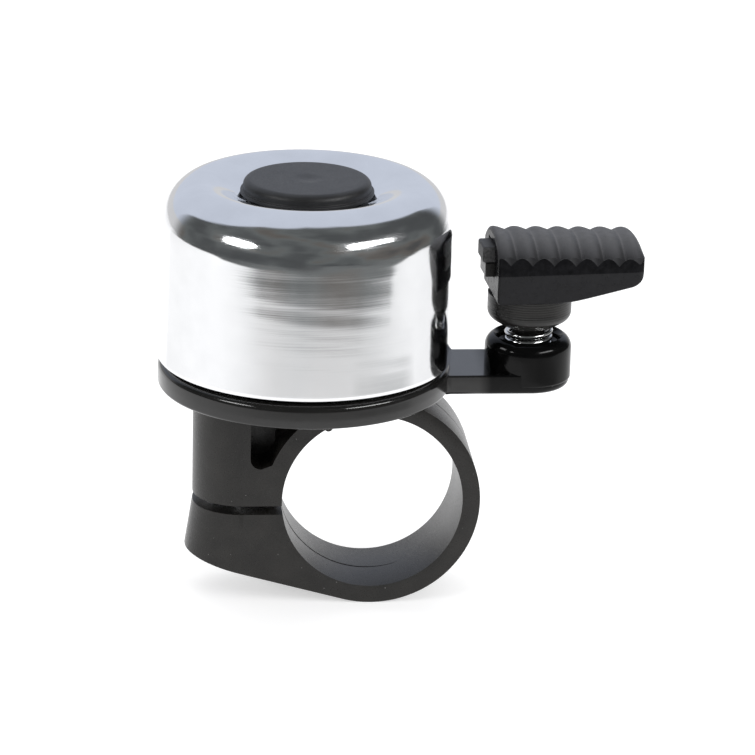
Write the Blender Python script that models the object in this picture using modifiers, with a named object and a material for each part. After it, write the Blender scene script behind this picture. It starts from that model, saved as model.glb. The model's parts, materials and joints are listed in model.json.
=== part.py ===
"""Bicycle bell: a small aluminium dome on a moulded handlebar clamp, rung by a thumb hammer on a spring.

Units are metres. The origin is the centre of the clamp's bore, +Y runs along the handlebar,
+X points from the dome to the hammer and +Z is up.
"""

import math

import bmesh
import bpy
from mathutils import Vector

# ---------------------------------------------------------------------------
# Driving dimensions
# ---------------------------------------------------------------------------

GAP = 0.0003                    # clearance between pieces that touch

# Handlebar clamp
BAR_RADIUS = 0.0111             # 22.2 mm handlebar
BAND_WALL = 0.00215
BAND_WIDTH = 0.0126             # along the handlebar
SPLIT_TOP = -0.0005             # underside of the fixed half's block
SPLIT_GAP = 0.0011              # what the screw closes
HINGE_ANGLE = -5.0              # degrees, where the band's two halves meet on the right
BLOCK_LENGTH = 0.0107           # from the bore's left side to the block's left end
BLOCK_CORNER = 0.0060           # plan radius of the block's left end
LUG_FLARE = 0.15                # outward lean of the lug's left end
LUG_SLOPE = 15.1                # degrees, underside of the lug
CRUSH_RIB_RADIUS = 0.00055
CRUSH_RIB_ANGLE = 120.0

# Weight-saving pockets between block and band
POCKET_LEFT = 0.0068            # from the block's left end
POCKET_BOTTOM = 0.0043
POCKET_CORNER = 0.0013
WEB_THICKNESS = 0.0020

# Clamp screw
CLAMP_SCREW_INSET = 0.0038      # screw axis from the block's left end
SCREW_SHANK_RADIUS = 0.00145    # M3
SCREW_LEAD = 0.0004             # chamfer at the shank's end
SCREW_HEAD_RADIUS = 0.00275
SCREW_HEAD_HEIGHT = 0.0020
CLAMP_SHANK_LENGTH = 0.0125
LUG_SEAT_DEPTH = 0.0033         # lug thickness above the counterbore
WASHER_RADIUS = 0.0030
WASHER_THICKNESS = 0.0005
INSERT_WALL = 0.00035
INSERT_LENGTH = 0.0052
INSERT_POCKET = 0.0095          # depth of the insert's blind hole

# Base plate: disc, arm, boss and centre post
DOME_AXIS_X = -0.00825
DISC_INSET = 0.0001             # the disc's edge inside the dome's outside
DISC_PLATE = 0.0016
DISC_HEIGHT = 0.0031
DISC_RIM_WIDTH = 0.0020
DISC_RIM_ROUND = 0.0008
POST_WALL = 0.0011
SPIGOT_RADIUS = 0.0036
SPIGOT_HEIGHT = 0.0058
ARM_INSET = 0.00018             # the arm's side inside the boss's
ARM_HEIGHT = 0.00255
ARM_DROP = 0.00025              # the arm's underside is this much below the disc's
ARM_EDGE = 0.0007
BOSS_WALL = 0.00203
BOSS_HEIGHT = 0.0062            # above the disc's underside
BOSS_ROUND = 0.0017
BOSS_MOUTH_FLARE = 0.0004
BOSS_MOUTH_DEPTH = 0.0012
BOSS_LIP = 0.0007               # chamfer round the mouth, which the hub tilts into

# Dome
DOME_RADIUS = 0.0180
DOME_WALL = 0.0009
DOME_HOVER = 0.0035             # lower edge of the dome above the disc's underside
DOME_HEIGHT = 0.02205           # lower edge to crest
DOME_DRAFT = 0.0001
SHOULDER_WIDTH = 0.0046
SHOULDER_HEIGHT = 0.0060
DISH_MARGIN = 0.0005            # from the cap's flange to the start of the dish
DISH_DEPTH = 0.0015
WELL_INSET = 0.0004             # the well inside the cap's body
WELL_DEPTH = 0.0030
CENTRE_HOLE_CLEARANCE = 0.00075

# Centre fixing and cap
CENTRE_HEAD_RADIUS = 0.0034
CENTRE_HEAD_HEIGHT = 0.0020
CENTRE_WASHER_RADIUS = 0.0046
ISOLATOR_RADIUS = 0.0050
ISOLATOR_THICKNESS = 0.0010
CAP_FLANGE_LIP = 0.0003
CAP_FLANGE_THICKNESS = 0.0004
CAP_RADIUS = 0.0078
CAP_HEIGHT = 0.0018
CAP_ROUND = 0.0008
CAP_WALL = 0.0009
CAP_SKIRT_DEPTH = 0.0020

# Spring
SPRING_RADIUS = 0.0030
WIRE_RADIUS = 0.00035
SPRING_TURNS = 5.5
BOSS_STUD_HEIGHT = 0.0019
BOSS_FLOOR = 0.0011             # floor of the boss's bore above the disc's underside

# Hammer: hub, striker and thumb pad
HUB_LIFT = 0.00075              # hub above the boss
HUB_FOOT_LIP = 0.0002           # the hub's foot beyond the spring's outside
HUB_TAPER = 0.0015
HUB_RADIUS = 0.00514
HUB_HEIGHT = 0.00455            # at the toe; the top follows the pad's underside
HUB_STUD = 0.0012
LEVER_TWIST = 3.5               # degrees, the lever's turn about the spring's axis
PAD_TOE = 0.0049                # pad in front of the hub's axis, towards the dome
PAD_LENGTH = 0.0180
PAD_HALF_WIDTH = 0.0053
PAD_FOOT_HALF_WIDTH = 0.0049
PAD_HEIGHT = 0.0077             # underside to crest at the toe
PAD_RISE = 0.00185              # how much the underside climbs towards the tip
PAD_EDGE = 0.0031               # side crease above the underside
PAD_SHOULDER = 0.0051           # where the crown starts, above the underside
PAD_WALL = 0.0010
PAD_FALL = 0.0005               # how much the crest falls towards the tip
PAD_TOE_ROUND = 0.0004
PAD_TIP_LENGTH = 0.08           # share of the pad's length that rounds over at the tip
PAD_TIP_DROP = 0.0016
PAD_TIP_LIFT = 0.0010
PAD_TIP_TAPER = 0.0006
RIB_COUNT = 7
RIB_DEPTH = 0.0007
STRIKE_GAP = 0.00321            # from the striker at rest to the dome's widest side
STRIKER_REACH = 0.0014          # striker beyond the pad's toe
STRIKER_LENGTH = 0.0090
STRIKER_HALF_WIDTH = 0.0020
STRIKER_HEIGHT = 0.0020
CORE_NOSE_HEIGHT = 0.0008

SEGMENTS = 48
SMALL_SEGMENTS = 24
MERGE = 0.000005

# ---------------------------------------------------------------------------
# Places worked out from the driving dimensions
# ---------------------------------------------------------------------------

BAND_RADIUS = BAR_RADIUS + BAND_WALL
HALF_BAND = BAND_WIDTH / 2
SPLIT_BOTTOM = SPLIT_TOP - SPLIT_GAP
BLOCK_LEFT = -BAR_RADIUS - BLOCK_LENGTH
SADDLE_TOP = BAND_RADIUS
CLAMP_SCREW_X = BLOCK_LEFT + CLAMP_SCREW_INSET
LUG_SEAT = SPLIT_BOTTOM - LUG_SEAT_DEPTH
INSERT_RADIUS = SCREW_SHANK_RADIUS + GAP + INSERT_WALL

DISC_BOTTOM = SADDLE_TOP + GAP
DISC_RADIUS = DOME_RADIUS - DISC_INSET
POST_RADIUS = SPIGOT_RADIUS + GAP + POST_WALL
DOME_EDGE = DISC_BOTTOM + DOME_HOVER
DOME_CREST = DOME_EDGE + DOME_HEIGHT
CAP_FLANGE_RADIUS = CAP_RADIUS + CAP_FLANGE_LIP
DISH_RADIUS = CAP_FLANGE_RADIUS + DISH_MARGIN
DISH_FLOOR = DOME_CREST - DISH_DEPTH
WELL_RADIUS = CAP_RADIUS - WELL_INSET
WELL_FLOOR = DISH_FLOOR - WELL_DEPTH
CENTRE_HOLE_RADIUS = SCREW_SHANK_RADIUS + CENTRE_HOLE_CLEARANCE
CENTRE_SEAT = WELL_FLOOR + 2 * GAP + WASHER_THICKNESS
ISOLATOR_TOP = WELL_FLOOR - DOME_WALL - GAP
POST_TOP = ISOLATOR_TOP - ISOLATOR_THICKNESS - GAP
SPIGOT_TOP = SADDLE_TOP + SPIGOT_HEIGHT
CENTRE_INSERT_BOTTOM = SPIGOT_TOP - GAP - INSERT_LENGTH

BOSS_TOP = DISC_BOTTOM + BOSS_HEIGHT
BOSS_BORE_FLOOR = DISC_BOTTOM + BOSS_FLOOR
BOSS_BORE_RADIUS = SPRING_RADIUS + GAP
BOSS_MOUTH_RADIUS = BOSS_BORE_RADIUS + BOSS_MOUTH_FLARE
BOSS_RADIUS = BOSS_BORE_RADIUS + BOSS_WALL
ARM_HALF_WIDTH = BOSS_RADIUS - ARM_INSET
STUD_RADIUS = SPRING_RADIUS - 2 * WIRE_RADIUS - GAP
HAMMER_AXIS_X = DOME_AXIS_X + DOME_RADIUS + STRIKE_GAP + STRIKER_REACH + PAD_TOE
HUB_FOOT_RADIUS = SPRING_RADIUS + HUB_FOOT_LIP
HUB_FOOT = BOSS_TOP + HUB_LIFT
HUB_TOP = HUB_FOOT + HUB_HEIGHT
SPRING_BOTTOM = BOSS_BORE_FLOOR + GAP
SPRING_TOP = HUB_FOOT - GAP

PAD_BOTTOM = HUB_TOP + GAP
PAD_LEFT = -PAD_TOE
RIB_PITCH = PAD_LENGTH / (RIB_COUNT - 0.25)
CORE_HALF_WIDTH = PAD_FOOT_HALF_WIDTH - PAD_WALL - GAP
NECK_HALF_LENGTH = 0.7 * HUB_RADIUS
NECK_HALF_WIDTH = CORE_HALF_WIDTH - GAP
STRIKER_TOP = PAD_BOTTOM + PAD_HEIGHT - RIB_DEPTH - PAD_WALL
STRIKER_BOTTOM = STRIKER_TOP - STRIKER_HEIGHT
CORE_TOP = STRIKER_BOTTOM - GAP


# ---------------------------------------------------------------------------
# Modelling helpers
# ---------------------------------------------------------------------------

for old in list(bpy.data.objects):
    bpy.data.objects.remove(old)

bell = bpy.data.collections.new("bicycle_bell")
cutters = bpy.data.collections.new("cutters")
for group in (bell, cutters):
    bpy.context.scene.collection.children.link(group)


def material(name, colour, roughness, metallic=0.0):
    """A Principled material with one colour."""
    made = bpy.data.materials.new(name)
    made.use_nodes = True
    shader = made.node_tree.nodes["Principled BSDF"]
    shader.inputs["Base Color"].default_value = (*colour, 1.0)
    shader.inputs["Roughness"].default_value = roughness
    shader.inputs["Metallic"].default_value = metallic
    return made


def place(mesh, name, finish=None, location=(0, 0, 0), rotation=(0, 0, 0)):
    """Put a mesh in the bell with a finish, or among the cutters without one."""
    made = bpy.data.objects.new(name, mesh)
    made.location = location
    made.rotation_euler = rotation
    if finish is None:
        cutters.objects.link(made)
        made.hide_render = True
        made.display_type = "WIRE"
    else:
        bell.objects.link(made)
        mesh.materials.append(finish)
    return made


def arc(centre_x, centre_z, radius, start, end, steps):
    """Points on an arc, angles in degrees, both ends included."""
    angles = [math.radians(start + (end - start) * i / steps) for i in range(steps + 1)]
    return [(centre_x + radius * math.cos(a), centre_z + radius * math.sin(a)) for a in angles]


def turned(name, profile, finish=None, axis_x=0.0, base_z=0.0, closed=False,
           steps=SEGMENTS, rotation=(0, 0, 0)):
    """Turn a profile of (radius, height) points about a vertical axis.

    The profile runs down its outer side. It starts and ends on the axis, or closes on itself.
    """
    points = [(r, 0.0, z) for r, z in profile]
    count = len(points)
    edges = [(i, i + 1) for i in range(count - 1)]
    if closed:
        edges.append((count - 1, 0))
    mesh = bpy.data.meshes.new(name)
    mesh.from_pydata(points, edges, [])
    made = place(mesh, name, finish, (axis_x, 0.0, base_z), rotation)
    screw = made.modifiers.new("turn", "SCREW")
    screw.steps = steps
    screw.render_steps = steps
    screw.use_merge_vertices = True
    screw.merge_threshold = MERGE
    screw.use_smooth_shade = True
    return made


def outline_mesh(name, outline, thickness):
    """A flat outline given thickness both ways along its normal, as a welded mesh in XY."""
    curve = bpy.data.curves.new(name, "CURVE")
    curve.dimensions = "2D"
    curve.fill_mode = "BOTH"
    curve.extrude = thickness / 2
    spline = curve.splines.new("POLY")
    spline.points.add(len(outline) - 1)
    for point, (u, v) in zip(spline.points, outline):
        point.co = (u, v, 0.0, 1.0)
    spline.use_cyclic_u = True
    carrier = bpy.data.objects.new(name + "_outline", curve)
    cutters.objects.link(carrier)
    bpy.context.view_layer.update()
    graph = bpy.context.evaluated_depsgraph_get()
    mesh = bpy.data.meshes.new_from_object(carrier.evaluated_get(graph))
    bpy.data.objects.remove(carrier)
    work = bmesh.new()
    work.from_mesh(mesh)
    bmesh.ops.remove_doubles(work, verts=work.verts, dist=MERGE)
    bmesh.ops.recalc_face_normals(work, faces=work.faces)
    work.to_mesh(mesh)
    work.free()
    return mesh


def slab(name, outline, thickness, finish=None, location=(0, 0, 0), twist=0.0):
    """An outline in X and Z, extruded along Y and centred on its location."""
    return place(outline_mesh(name, outline, thickness), name, finish, location,
                 (math.radians(90.0), 0.0, twist))


def box(name, low, high, finish=None, location=(0, 0, 0), rotation=(0, 0, 0)):
    """A block between two corners given about its own origin."""
    work = bmesh.new()
    bmesh.ops.create_cube(work, size=1.0)
    low, high = Vector(low), Vector(high)
    bmesh.ops.scale(work, verts=work.verts, vec=high - low)
    bmesh.ops.translate(work, verts=work.verts, vec=(low + high) / 2)
    mesh = bpy.data.meshes.new(name)
    work.to_mesh(mesh)
    work.free()
    return place(mesh, name, finish, location, rotation)


def combine(target, other, operation):
    """Cut, join or intersect target with another object."""
    boolean = target.modifiers.new(other.name, "BOOLEAN")
    boolean.operation = operation
    boolean.solver = "EXACT"
    boolean.object = other


def cylinder_profile(radius, bottom, top):
    """A plain cylinder from the axis out and back."""
    return [(0.0, top), (radius, top), (radius, bottom), (0.0, bottom)]


def ring_profile(inner, outer, bottom, top):
    """A flat ring."""
    return [(inner, top), (outer, top), (outer, bottom), (inner, bottom)]


def helix(name, axis_x, radius, wire, bottom, top, turns, finish):
    """A round wire wound about a vertical axis."""
    steps = 12
    count = int(turns * steps) + 1
    curve = bpy.data.curves.new(name, "CURVE")
    curve.dimensions = "3D"
    curve.bevel_depth = wire
    curve.bevel_resolution = 2
    curve.use_fill_caps = True
    spline = curve.splines.new("POLY")
    spline.points.add(count - 1)
    for i, point in enumerate(spline.points):
        angle = 2 * math.pi * i / steps
        share = i / (count - 1)
        height = bottom + (top - bottom) * share
        point.co = (radius * math.cos(angle), radius * math.sin(angle), height, 1.0)
    curve.materials.append(finish)
    made = bpy.data.objects.new(name, curve)
    made.location = (axis_x, 0.0, 0.0)
    bell.objects.link(made)
    return made


# ---------------------------------------------------------------------------
# Materials
# ---------------------------------------------------------------------------

aluminium = material("polished_aluminium", (0.86, 0.87, 0.88), 0.12, 1.0)
gloss_black = material("gloss_black_plastic", (0.010, 0.010, 0.010), 0.15)
matt_black = material("matt_black_plastic", (0.022, 0.021, 0.020), 0.55)
cap_black = material("cap_black_plastic", (0.020, 0.020, 0.021), 0.45)
hub_black = material("hub_black_plastic", (0.020, 0.019, 0.018), 0.38)
pad_black = material("pad_black_rubber", (0.012, 0.012, 0.013), 0.28)
striker_grey = material("striker_grey_steel", (0.12, 0.12, 0.12), 0.6, 0.6)
zinc_steel = material("zinc_steel", (0.62, 0.63, 0.64), 0.3, 1.0)
spring_steel = material("spring_steel", (0.66, 0.66, 0.66), 0.18, 1.0)
brass = material("brass", (0.72, 0.55, 0.28), 0.3, 1.0)
nylon = material("white_nylon", (0.75, 0.74, 0.70), 0.5)


# ---------------------------------------------------------------------------
# Handlebar clamp
# ---------------------------------------------------------------------------


def plan_cutter(name, left, flare=0.0, flare_top=0.0):
    """The clamp seen from above: straight sides and a rounded left end, leaning out if flared."""
    reach = 2 * BAND_RADIUS
    corner = min(BLOCK_CORNER, HALF_BAND - GAP)
    centre_x = left + corner
    outline = [(reach, -HALF_BAND), (reach, HALF_BAND)]
    outline += arc(centre_x, HALF_BAND - corner, corner, 90.0, 180.0, 8)
    outline += arc(centre_x, corner - HALF_BAND, corner, 180.0, 270.0, 8)
    mesh = outline_mesh(name, outline, 4 * BAND_RADIUS)
    for vertex in mesh.vertices:
        if vertex.co.x < centre_x + corner / 2:
            vertex.co.x -= flare * (flare_top - vertex.co.z)
    return place(mesh, name)


def bore_cutter(name):
    """The handlebar's bore."""
    return slab(name, arc(0.0, 0.0, BAR_RADIUS, 0.0, 360.0 * (1 - 1 / SEGMENTS), SEGMENTS - 1),
                2 * BAND_WIDTH)


def hinge_point(radius, side):
    """Where a half of the band ends on the right, a half gap to either side of the hinge line."""
    angle = math.radians(HINGE_ANGLE)
    across = side * GAP / 2
    return (radius * math.cos(angle) - across * math.sin(angle),
            radius * math.sin(angle) + across * math.cos(angle))


def clamp_bracket():
    """Fixed half: block, saddle and upper band, pocketed to a web, with a spigot for the bell."""
    inside = 0.5 * BAR_RADIUS
    outline = [(BLOCK_LEFT, SPLIT_TOP), (-inside, SPLIT_TOP), hinge_point(inside, 1)]
    outline += [hinge_point(BAND_RADIUS, 1)]
    outline += arc(0.0, 0.0, BAND_RADIUS, HINGE_ANGLE + 5.0, 90.0, 14)
    outline += [(BLOCK_LEFT, SADDLE_TOP)]
    bracket = slab("clamp_bracket", outline, BAND_WIDTH * 1.5, matt_black)
    combine(bracket, plan_cutter("bracket_plan", BLOCK_LEFT), "INTERSECT")

    wall = BLOCK_LEFT + POCKET_LEFT
    reach = math.sqrt(BAND_RADIUS ** 2 - (POCKET_BOTTOM + 0.4 * POCKET_CORNER) ** 2)
    band_angle = math.degrees(math.atan2(POCKET_BOTTOM + 0.4 * POCKET_CORNER, -reach))
    pocket = [(wall, 2 * SADDLE_TOP)]
    pocket += arc(wall + POCKET_CORNER, POCKET_BOTTOM + POCKET_CORNER, POCKET_CORNER, 180.0, 270.0, 4)
    pocket += arc(0.0, 0.0, BAND_RADIUS, band_angle, 92.0, 12)
    pocket += [(0.0, BAND_RADIUS + GAP), (0.0, 2 * SADDLE_TOP)]
    depth = HALF_BAND - WEB_THICKNESS / 2
    for side, face in (("front", -1), ("back", 1)):
        middle = face * (WEB_THICKNESS / 2 + depth)
        cutter = slab("pocket_" + side, pocket, 2 * depth, location=(0.0, middle, 0.0))
        combine(bracket, cutter, "DIFFERENCE")

    spigot = cylinder_profile(SPIGOT_RADIUS, 0.3 * SADDLE_TOP, SPIGOT_TOP)
    combine(bracket, turned("spigot", spigot, axis_x=DOME_AXIS_X), "UNION")
    rib_angle = math.radians(CRUSH_RIB_ANGLE)
    combine(bracket, bore_cutter("bracket_bore"), "DIFFERENCE")
    rib = slab("crush_rib", arc(BAR_RADIUS * math.cos(rib_angle), BAR_RADIUS * math.sin(rib_angle),
                                CRUSH_RIB_RADIUS, 0.0, 330.0, 11), BAND_WIDTH - 2 * GAP)
    combine(bracket, rib, "UNION")

    hole = cylinder_profile(INSERT_RADIUS + GAP, 2 * SPLIT_BOTTOM, SPLIT_TOP + INSERT_POCKET)
    combine(bracket, turned("clamp_insert_hole", hole, axis_x=CLAMP_SCREW_X, steps=SMALL_SEGMENTS),
            "DIFFERENCE")
    step = CENTRE_INSERT_BOTTOM - GAP
    socket = [(0.0, 2 * SPIGOT_TOP), (INSERT_RADIUS + GAP, 2 * SPIGOT_TOP), (INSERT_RADIUS + GAP, step),
              (0.0, step)]
    combine(bracket, turned("centre_insert_hole", socket, axis_x=DOME_AXIS_X, steps=SMALL_SEGMENTS),
            "DIFFERENCE")
    return bracket


def clamp_strap():
    """Moving half: lower band and the lug that the clamp screw pulls up."""
    inside = 0.5 * BAR_RADIUS
    tangent = -90.0 - LUG_SLOPE
    foot_x = BAND_RADIUS * math.cos(math.radians(tangent))
    foot_z = BAND_RADIUS * math.sin(math.radians(tangent))
    rise = math.tan(math.radians(LUG_SLOPE))
    far_left = BLOCK_LEFT - BLOCK_CORNER
    far_z = foot_z + (foot_x - far_left) * rise
    outline = [(far_left, SPLIT_BOTTOM), (far_left, far_z)]
    outline += arc(0.0, 0.0, BAND_RADIUS, tangent, HINGE_ANGLE - 5.0, 16)
    outline += [hinge_point(BAND_RADIUS, -1), hinge_point(inside, -1), (-inside, SPLIT_BOTTOM)]
    strap = slab("clamp_strap", outline, BAND_WIDTH * 1.5, matt_black)
    combine(strap, plan_cutter("strap_plan", BLOCK_LEFT, LUG_FLARE, SPLIT_BOTTOM), "INTERSECT")
    combine(strap, bore_cutter("strap_bore"), "DIFFERENCE")
    hole = [(0.0, -2 * LUG_SEAT), (SCREW_SHANK_RADIUS + 1.5 * GAP, -2 * LUG_SEAT),
            (SCREW_SHANK_RADIUS + 1.5 * GAP, LUG_SEAT), (WASHER_RADIUS + GAP, LUG_SEAT),
            (WASHER_RADIUS + GAP, 2 * foot_z), (0.0, 2 * foot_z)]
    combine(strap, turned("lug_counterbore", hole, axis_x=CLAMP_SCREW_X, steps=SMALL_SEGMENTS),
            "DIFFERENCE")
    return strap


# ---------------------------------------------------------------------------
# Fasteners
# ---------------------------------------------------------------------------


def pan_screw(name, axis_x, seat, head_radius, head_height, shank_length, head_up):
    """A pan-head screw with a cross recess. Its own origin is the seat of the head."""
    crown = 0.45 * head_height
    profile = [(0.0, head_height), (0.55 * head_radius, 0.93 * head_height),
               (0.88 * head_radius, head_height - 0.6 * crown), (head_radius, 0.4 * head_height),
               (head_radius, 0.0), (SCREW_SHANK_RADIUS, 0.0),
               (SCREW_SHANK_RADIUS, SCREW_LEAD - shank_length), (0.7 * SCREW_SHANK_RADIUS, -shank_length),
               (0.0, -shank_length)]
    flip = (0.0, 0.0, 0.0) if head_up else (math.pi, 0.0, 0.0)
    screw = turned(name, profile, zinc_steel, axis_x, seat, steps=SMALL_SEGMENTS, rotation=flip)
    arm = 0.52 * head_radius
    blade = 0.11 * head_radius
    deep = 0.45 * head_height
    for tag, long_x, long_y in (("slot_a", arm, blade), ("slot_b", blade, arm)):
        slot = box(name + "_" + tag, (-long_x, -long_y, deep), (long_x, long_y, 2 * head_height),
                   location=(axis_x, 0.0, seat), rotation=flip)
        combine(screw, slot, "DIFFERENCE")
    return screw


def flat_ring(name, axis_x, inner, outer, bottom, thickness, finish):
    """A washer."""
    return turned(name, ring_profile(inner, outer, bottom, bottom + thickness), finish, axis_x,
                  closed=True, steps=SMALL_SEGMENTS)


# ---------------------------------------------------------------------------
# Base plate
# ---------------------------------------------------------------------------


def base_plate():
    """Disc under the dome with its centre post, and the arm that ends in the spring's boss."""
    rim_inner = DISC_RADIUS - DISC_RIM_WIDTH
    rim_top = DISC_BOTTOM + DISC_HEIGHT
    plate_top = DISC_BOTTOM + DISC_PLATE
    profile = [(0.0, POST_TOP), (POST_RADIUS - DISC_RIM_ROUND, POST_TOP),
               (POST_RADIUS, POST_TOP - DISC_RIM_ROUND), (POST_RADIUS, plate_top),
               (rim_inner, plate_top), (rim_inner, rim_top)]
    profile += arc(DISC_RADIUS - DISC_RIM_ROUND, rim_top - DISC_RIM_ROUND, DISC_RIM_ROUND, 90.0, 0.0, 4)
    profile += [(DISC_RADIUS, DISC_BOTTOM + GAP), (DISC_RADIUS - GAP, DISC_BOTTOM), (0.0, DISC_BOTTOM)]
    base = turned("base_plate", profile, gloss_black, DOME_AXIS_X)

    arm_bottom = DISC_BOTTOM - ARM_DROP
    root_x = DOME_AXIS_X + rim_inner + 0.4 * DISC_RIM_WIDTH
    outline = [(root_x, ARM_HALF_WIDTH), (root_x, -ARM_HALF_WIDTH)]
    outline += arc(HAMMER_AXIS_X, 0.0, ARM_HALF_WIDTH, -90.0, 90.0, 16)
    arm = place(outline_mesh("arm", outline, ARM_HEIGHT), "arm",
                location=(0.0, 0.0, arm_bottom + ARM_HEIGHT / 2))
    edge = arm.modifiers.new("edge", "BEVEL")
    edge.width = ARM_EDGE
    edge.segments = 3
    edge.limit_method = "ANGLE"
    combine(base, arm, "UNION")

    boss_bottom = arm_bottom + 0.6 * ARM_HEIGHT
    boss = [(0.0, BOSS_TOP)]
    boss += arc(BOSS_RADIUS - BOSS_ROUND, BOSS_TOP - BOSS_ROUND, BOSS_ROUND, 90.0, 0.0, 6)
    boss += [(BOSS_RADIUS, boss_bottom), (0.0, boss_bottom)]
    combine(base, turned("boss", boss, axis_x=HAMMER_AXIS_X), "UNION")

    mouth = BOSS_TOP - BOSS_MOUTH_DEPTH
    stud_top = BOSS_BORE_FLOOR + BOSS_STUD_HEIGHT
    bore = [(0.0, 2 * BOSS_TOP), (BOSS_MOUTH_RADIUS + BOSS_LIP + BOSS_TOP, 2 * BOSS_TOP),
            (BOSS_MOUTH_RADIUS, BOSS_TOP - BOSS_LIP), (BOSS_MOUTH_RADIUS, mouth),
            (BOSS_BORE_RADIUS, mouth - GAP), (BOSS_BORE_RADIUS, BOSS_BORE_FLOOR),
            (STUD_RADIUS, BOSS_BORE_FLOOR), (STUD_RADIUS, stud_top), (0.0, stud_top)]
    combine(base, turned("boss_bore", bore, axis_x=HAMMER_AXIS_X, steps=SMALL_SEGMENTS), "DIFFERENCE")

    socket = [(0.0, SPIGOT_TOP + GAP), (SPIGOT_RADIUS + GAP, SPIGOT_TOP + GAP),
              (SPIGOT_RADIUS + GAP, 0.5 * DISC_BOTTOM), (0.0, 0.5 * DISC_BOTTOM)]
    combine(base, turned("post_socket", socket, axis_x=DOME_AXIS_X), "DIFFERENCE")
    hole = cylinder_profile(SCREW_SHANK_RADIUS + GAP, SPIGOT_TOP, 2 * POST_TOP)
    combine(base, turned("post_hole", hole, axis_x=DOME_AXIS_X, steps=SMALL_SEGMENTS), "DIFFERENCE")
    return base


# ---------------------------------------------------------------------------
# Dome and cap
# ---------------------------------------------------------------------------


def dome_side(inset):
    """The dome's skin from the start of the dish out and down to its open edge, moved in by inset."""
    top_radius = DOME_RADIUS - DOME_DRAFT
    shoulder_radius = top_radius - SHOULDER_WIDTH
    shoulder_base = DOME_CREST - SHOULDER_HEIGHT
    points = []
    run = shoulder_radius - DISH_RADIUS
    for i in (1, 2, 3):
        share = i / 4
        lift = DISH_DEPTH * math.sin(share * math.pi / 2)
        points.append((DISH_RADIUS + share * run, DISH_FLOOR + lift - inset))
    for angle in range(90, -1, -10):
        a = math.radians(angle)
        points.append((shoulder_radius + (SHOULDER_WIDTH - inset) * math.cos(a),
                       shoulder_base + (SHOULDER_HEIGHT - inset) * math.sin(a)))
    points.append((DOME_RADIUS - inset, DOME_EDGE))
    return points


def dome():
    """Turned shell, open below, with a well in the crown for the screw's head."""
    outer = [(CENTRE_HOLE_RADIUS, WELL_FLOOR), (WELL_RADIUS, WELL_FLOOR),
             (WELL_RADIUS, DISH_FLOOR - 2 * GAP), (DISH_RADIUS, DISH_FLOOR)]
    below = WELL_FLOOR - DOME_WALL
    wall = WELL_RADIUS + DOME_WALL
    inner = [(CENTRE_HOLE_RADIUS, below), (wall, below), (wall, DISH_FLOOR - DOME_WALL - GAP)]
    profile = outer + dome_side(0.0) + dome_side(DOME_WALL)[::-1] + inner[::-1]
    return turned("dome", profile, aluminium, DOME_AXIS_X, closed=True)


def dome_cap():
    """Cap over the well: thin flange, rounded body with a faint dimple, and a skirt below."""
    bottom = DISH_FLOOR + GAP
    body_bottom = bottom + CAP_FLANGE_THICKNESS
    top = DISH_FLOOR + CAP_HEIGHT
    skirt = WELL_RADIUS - GAP
    profile = [(0.0, top - 0.5 * GAP), (0.12 * CAP_RADIUS, top - 0.4 * GAP), (0.25 * CAP_RADIUS, top)]
    profile += arc(CAP_RADIUS - CAP_ROUND, top - CAP_ROUND, CAP_ROUND, 90.0, 0.0, 4)
    profile += [(CAP_RADIUS, body_bottom), (CAP_FLANGE_RADIUS, body_bottom), (CAP_FLANGE_RADIUS, bottom),
                (skirt, bottom), (skirt, bottom - CAP_SKIRT_DEPTH),
                (skirt - CAP_WALL, bottom - CAP_SKIRT_DEPTH), (skirt - CAP_WALL, top - CAP_WALL),
                (0.0, top - CAP_WALL)]
    return turned("dome_cap", profile, cap_black, DOME_AXIS_X)


# ---------------------------------------------------------------------------
# Hammer
# ---------------------------------------------------------------------------

TWIST = math.radians(LEVER_TWIST)
HAMMER_PLACE = (HAMMER_AXIS_X, 0.0, 0.0)


def pad_underside(x):
    """Height of the pad's underside, which climbs from the hub to the tip."""
    return PAD_BOTTOM + PAD_RISE * (x - PAD_LEFT) / PAD_LENGTH


def pad_mesh():
    """Skin of the pad: crowned sections along its length, scalloped on top into ribs."""
    around = 9
    along = RIB_COUNT * 6
    work = bmesh.new()
    rings = []
    for i in range(along + 1):
        share = i / along
        x = PAD_LEFT + PAD_LENGTH * share
        low = pad_underside(x)
        phase = (x - PAD_LEFT) / RIB_PITCH + 0.25
        groove = RIB_DEPTH * (1.0 - abs(math.sin(math.pi * phase)) ** 0.7)
        tip = max(0.0, (share - 1.0 + PAD_TIP_LENGTH) / PAD_TIP_LENGTH) ** 2
        toe = PAD_TOE_ROUND if i == 0 else 0.0
        crest = PAD_BOTTOM + PAD_HEIGHT - groove - PAD_FALL * share - PAD_TIP_DROP * tip - toe
        low += PAD_TIP_LIFT * tip
        half = PAD_HALF_WIDTH - PAD_TIP_TAPER * tip - toe
        foot = PAD_FOOT_HALF_WIDTH - PAD_TIP_TAPER * tip
        edge = PAD_BOTTOM + PAD_EDGE + 0.3 * (low - PAD_BOTTOM)
        crown = PAD_BOTTOM + PAD_SHOULDER
        section = [(-foot, low), (foot, low), (half, edge)]
        for k in range(around + 1):
            a = math.pi * k / around
            section.append((half * math.copysign(abs(math.cos(a)) ** 0.8, math.cos(a)),
                            crown + (crest - crown) * math.sin(a)))
        section.append((-half, edge))
        rings.append([work.verts.new((x, y, z)) for y, z in section])
    count = len(rings[0])
    for first, second in zip(rings, rings[1:]):
        for k in range(count):
            after = (k + 1) % count
            work.faces.new((first[k], second[k], second[after], first[after]))
    work.faces.new(rings[0])
    work.faces.new(rings[-1][::-1])
    bmesh.ops.recalc_face_normals(work, faces=work.faces)
    mesh = bpy.data.meshes.new("thumb_pad")
    work.to_mesh(mesh)
    work.free()
    return mesh


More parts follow.
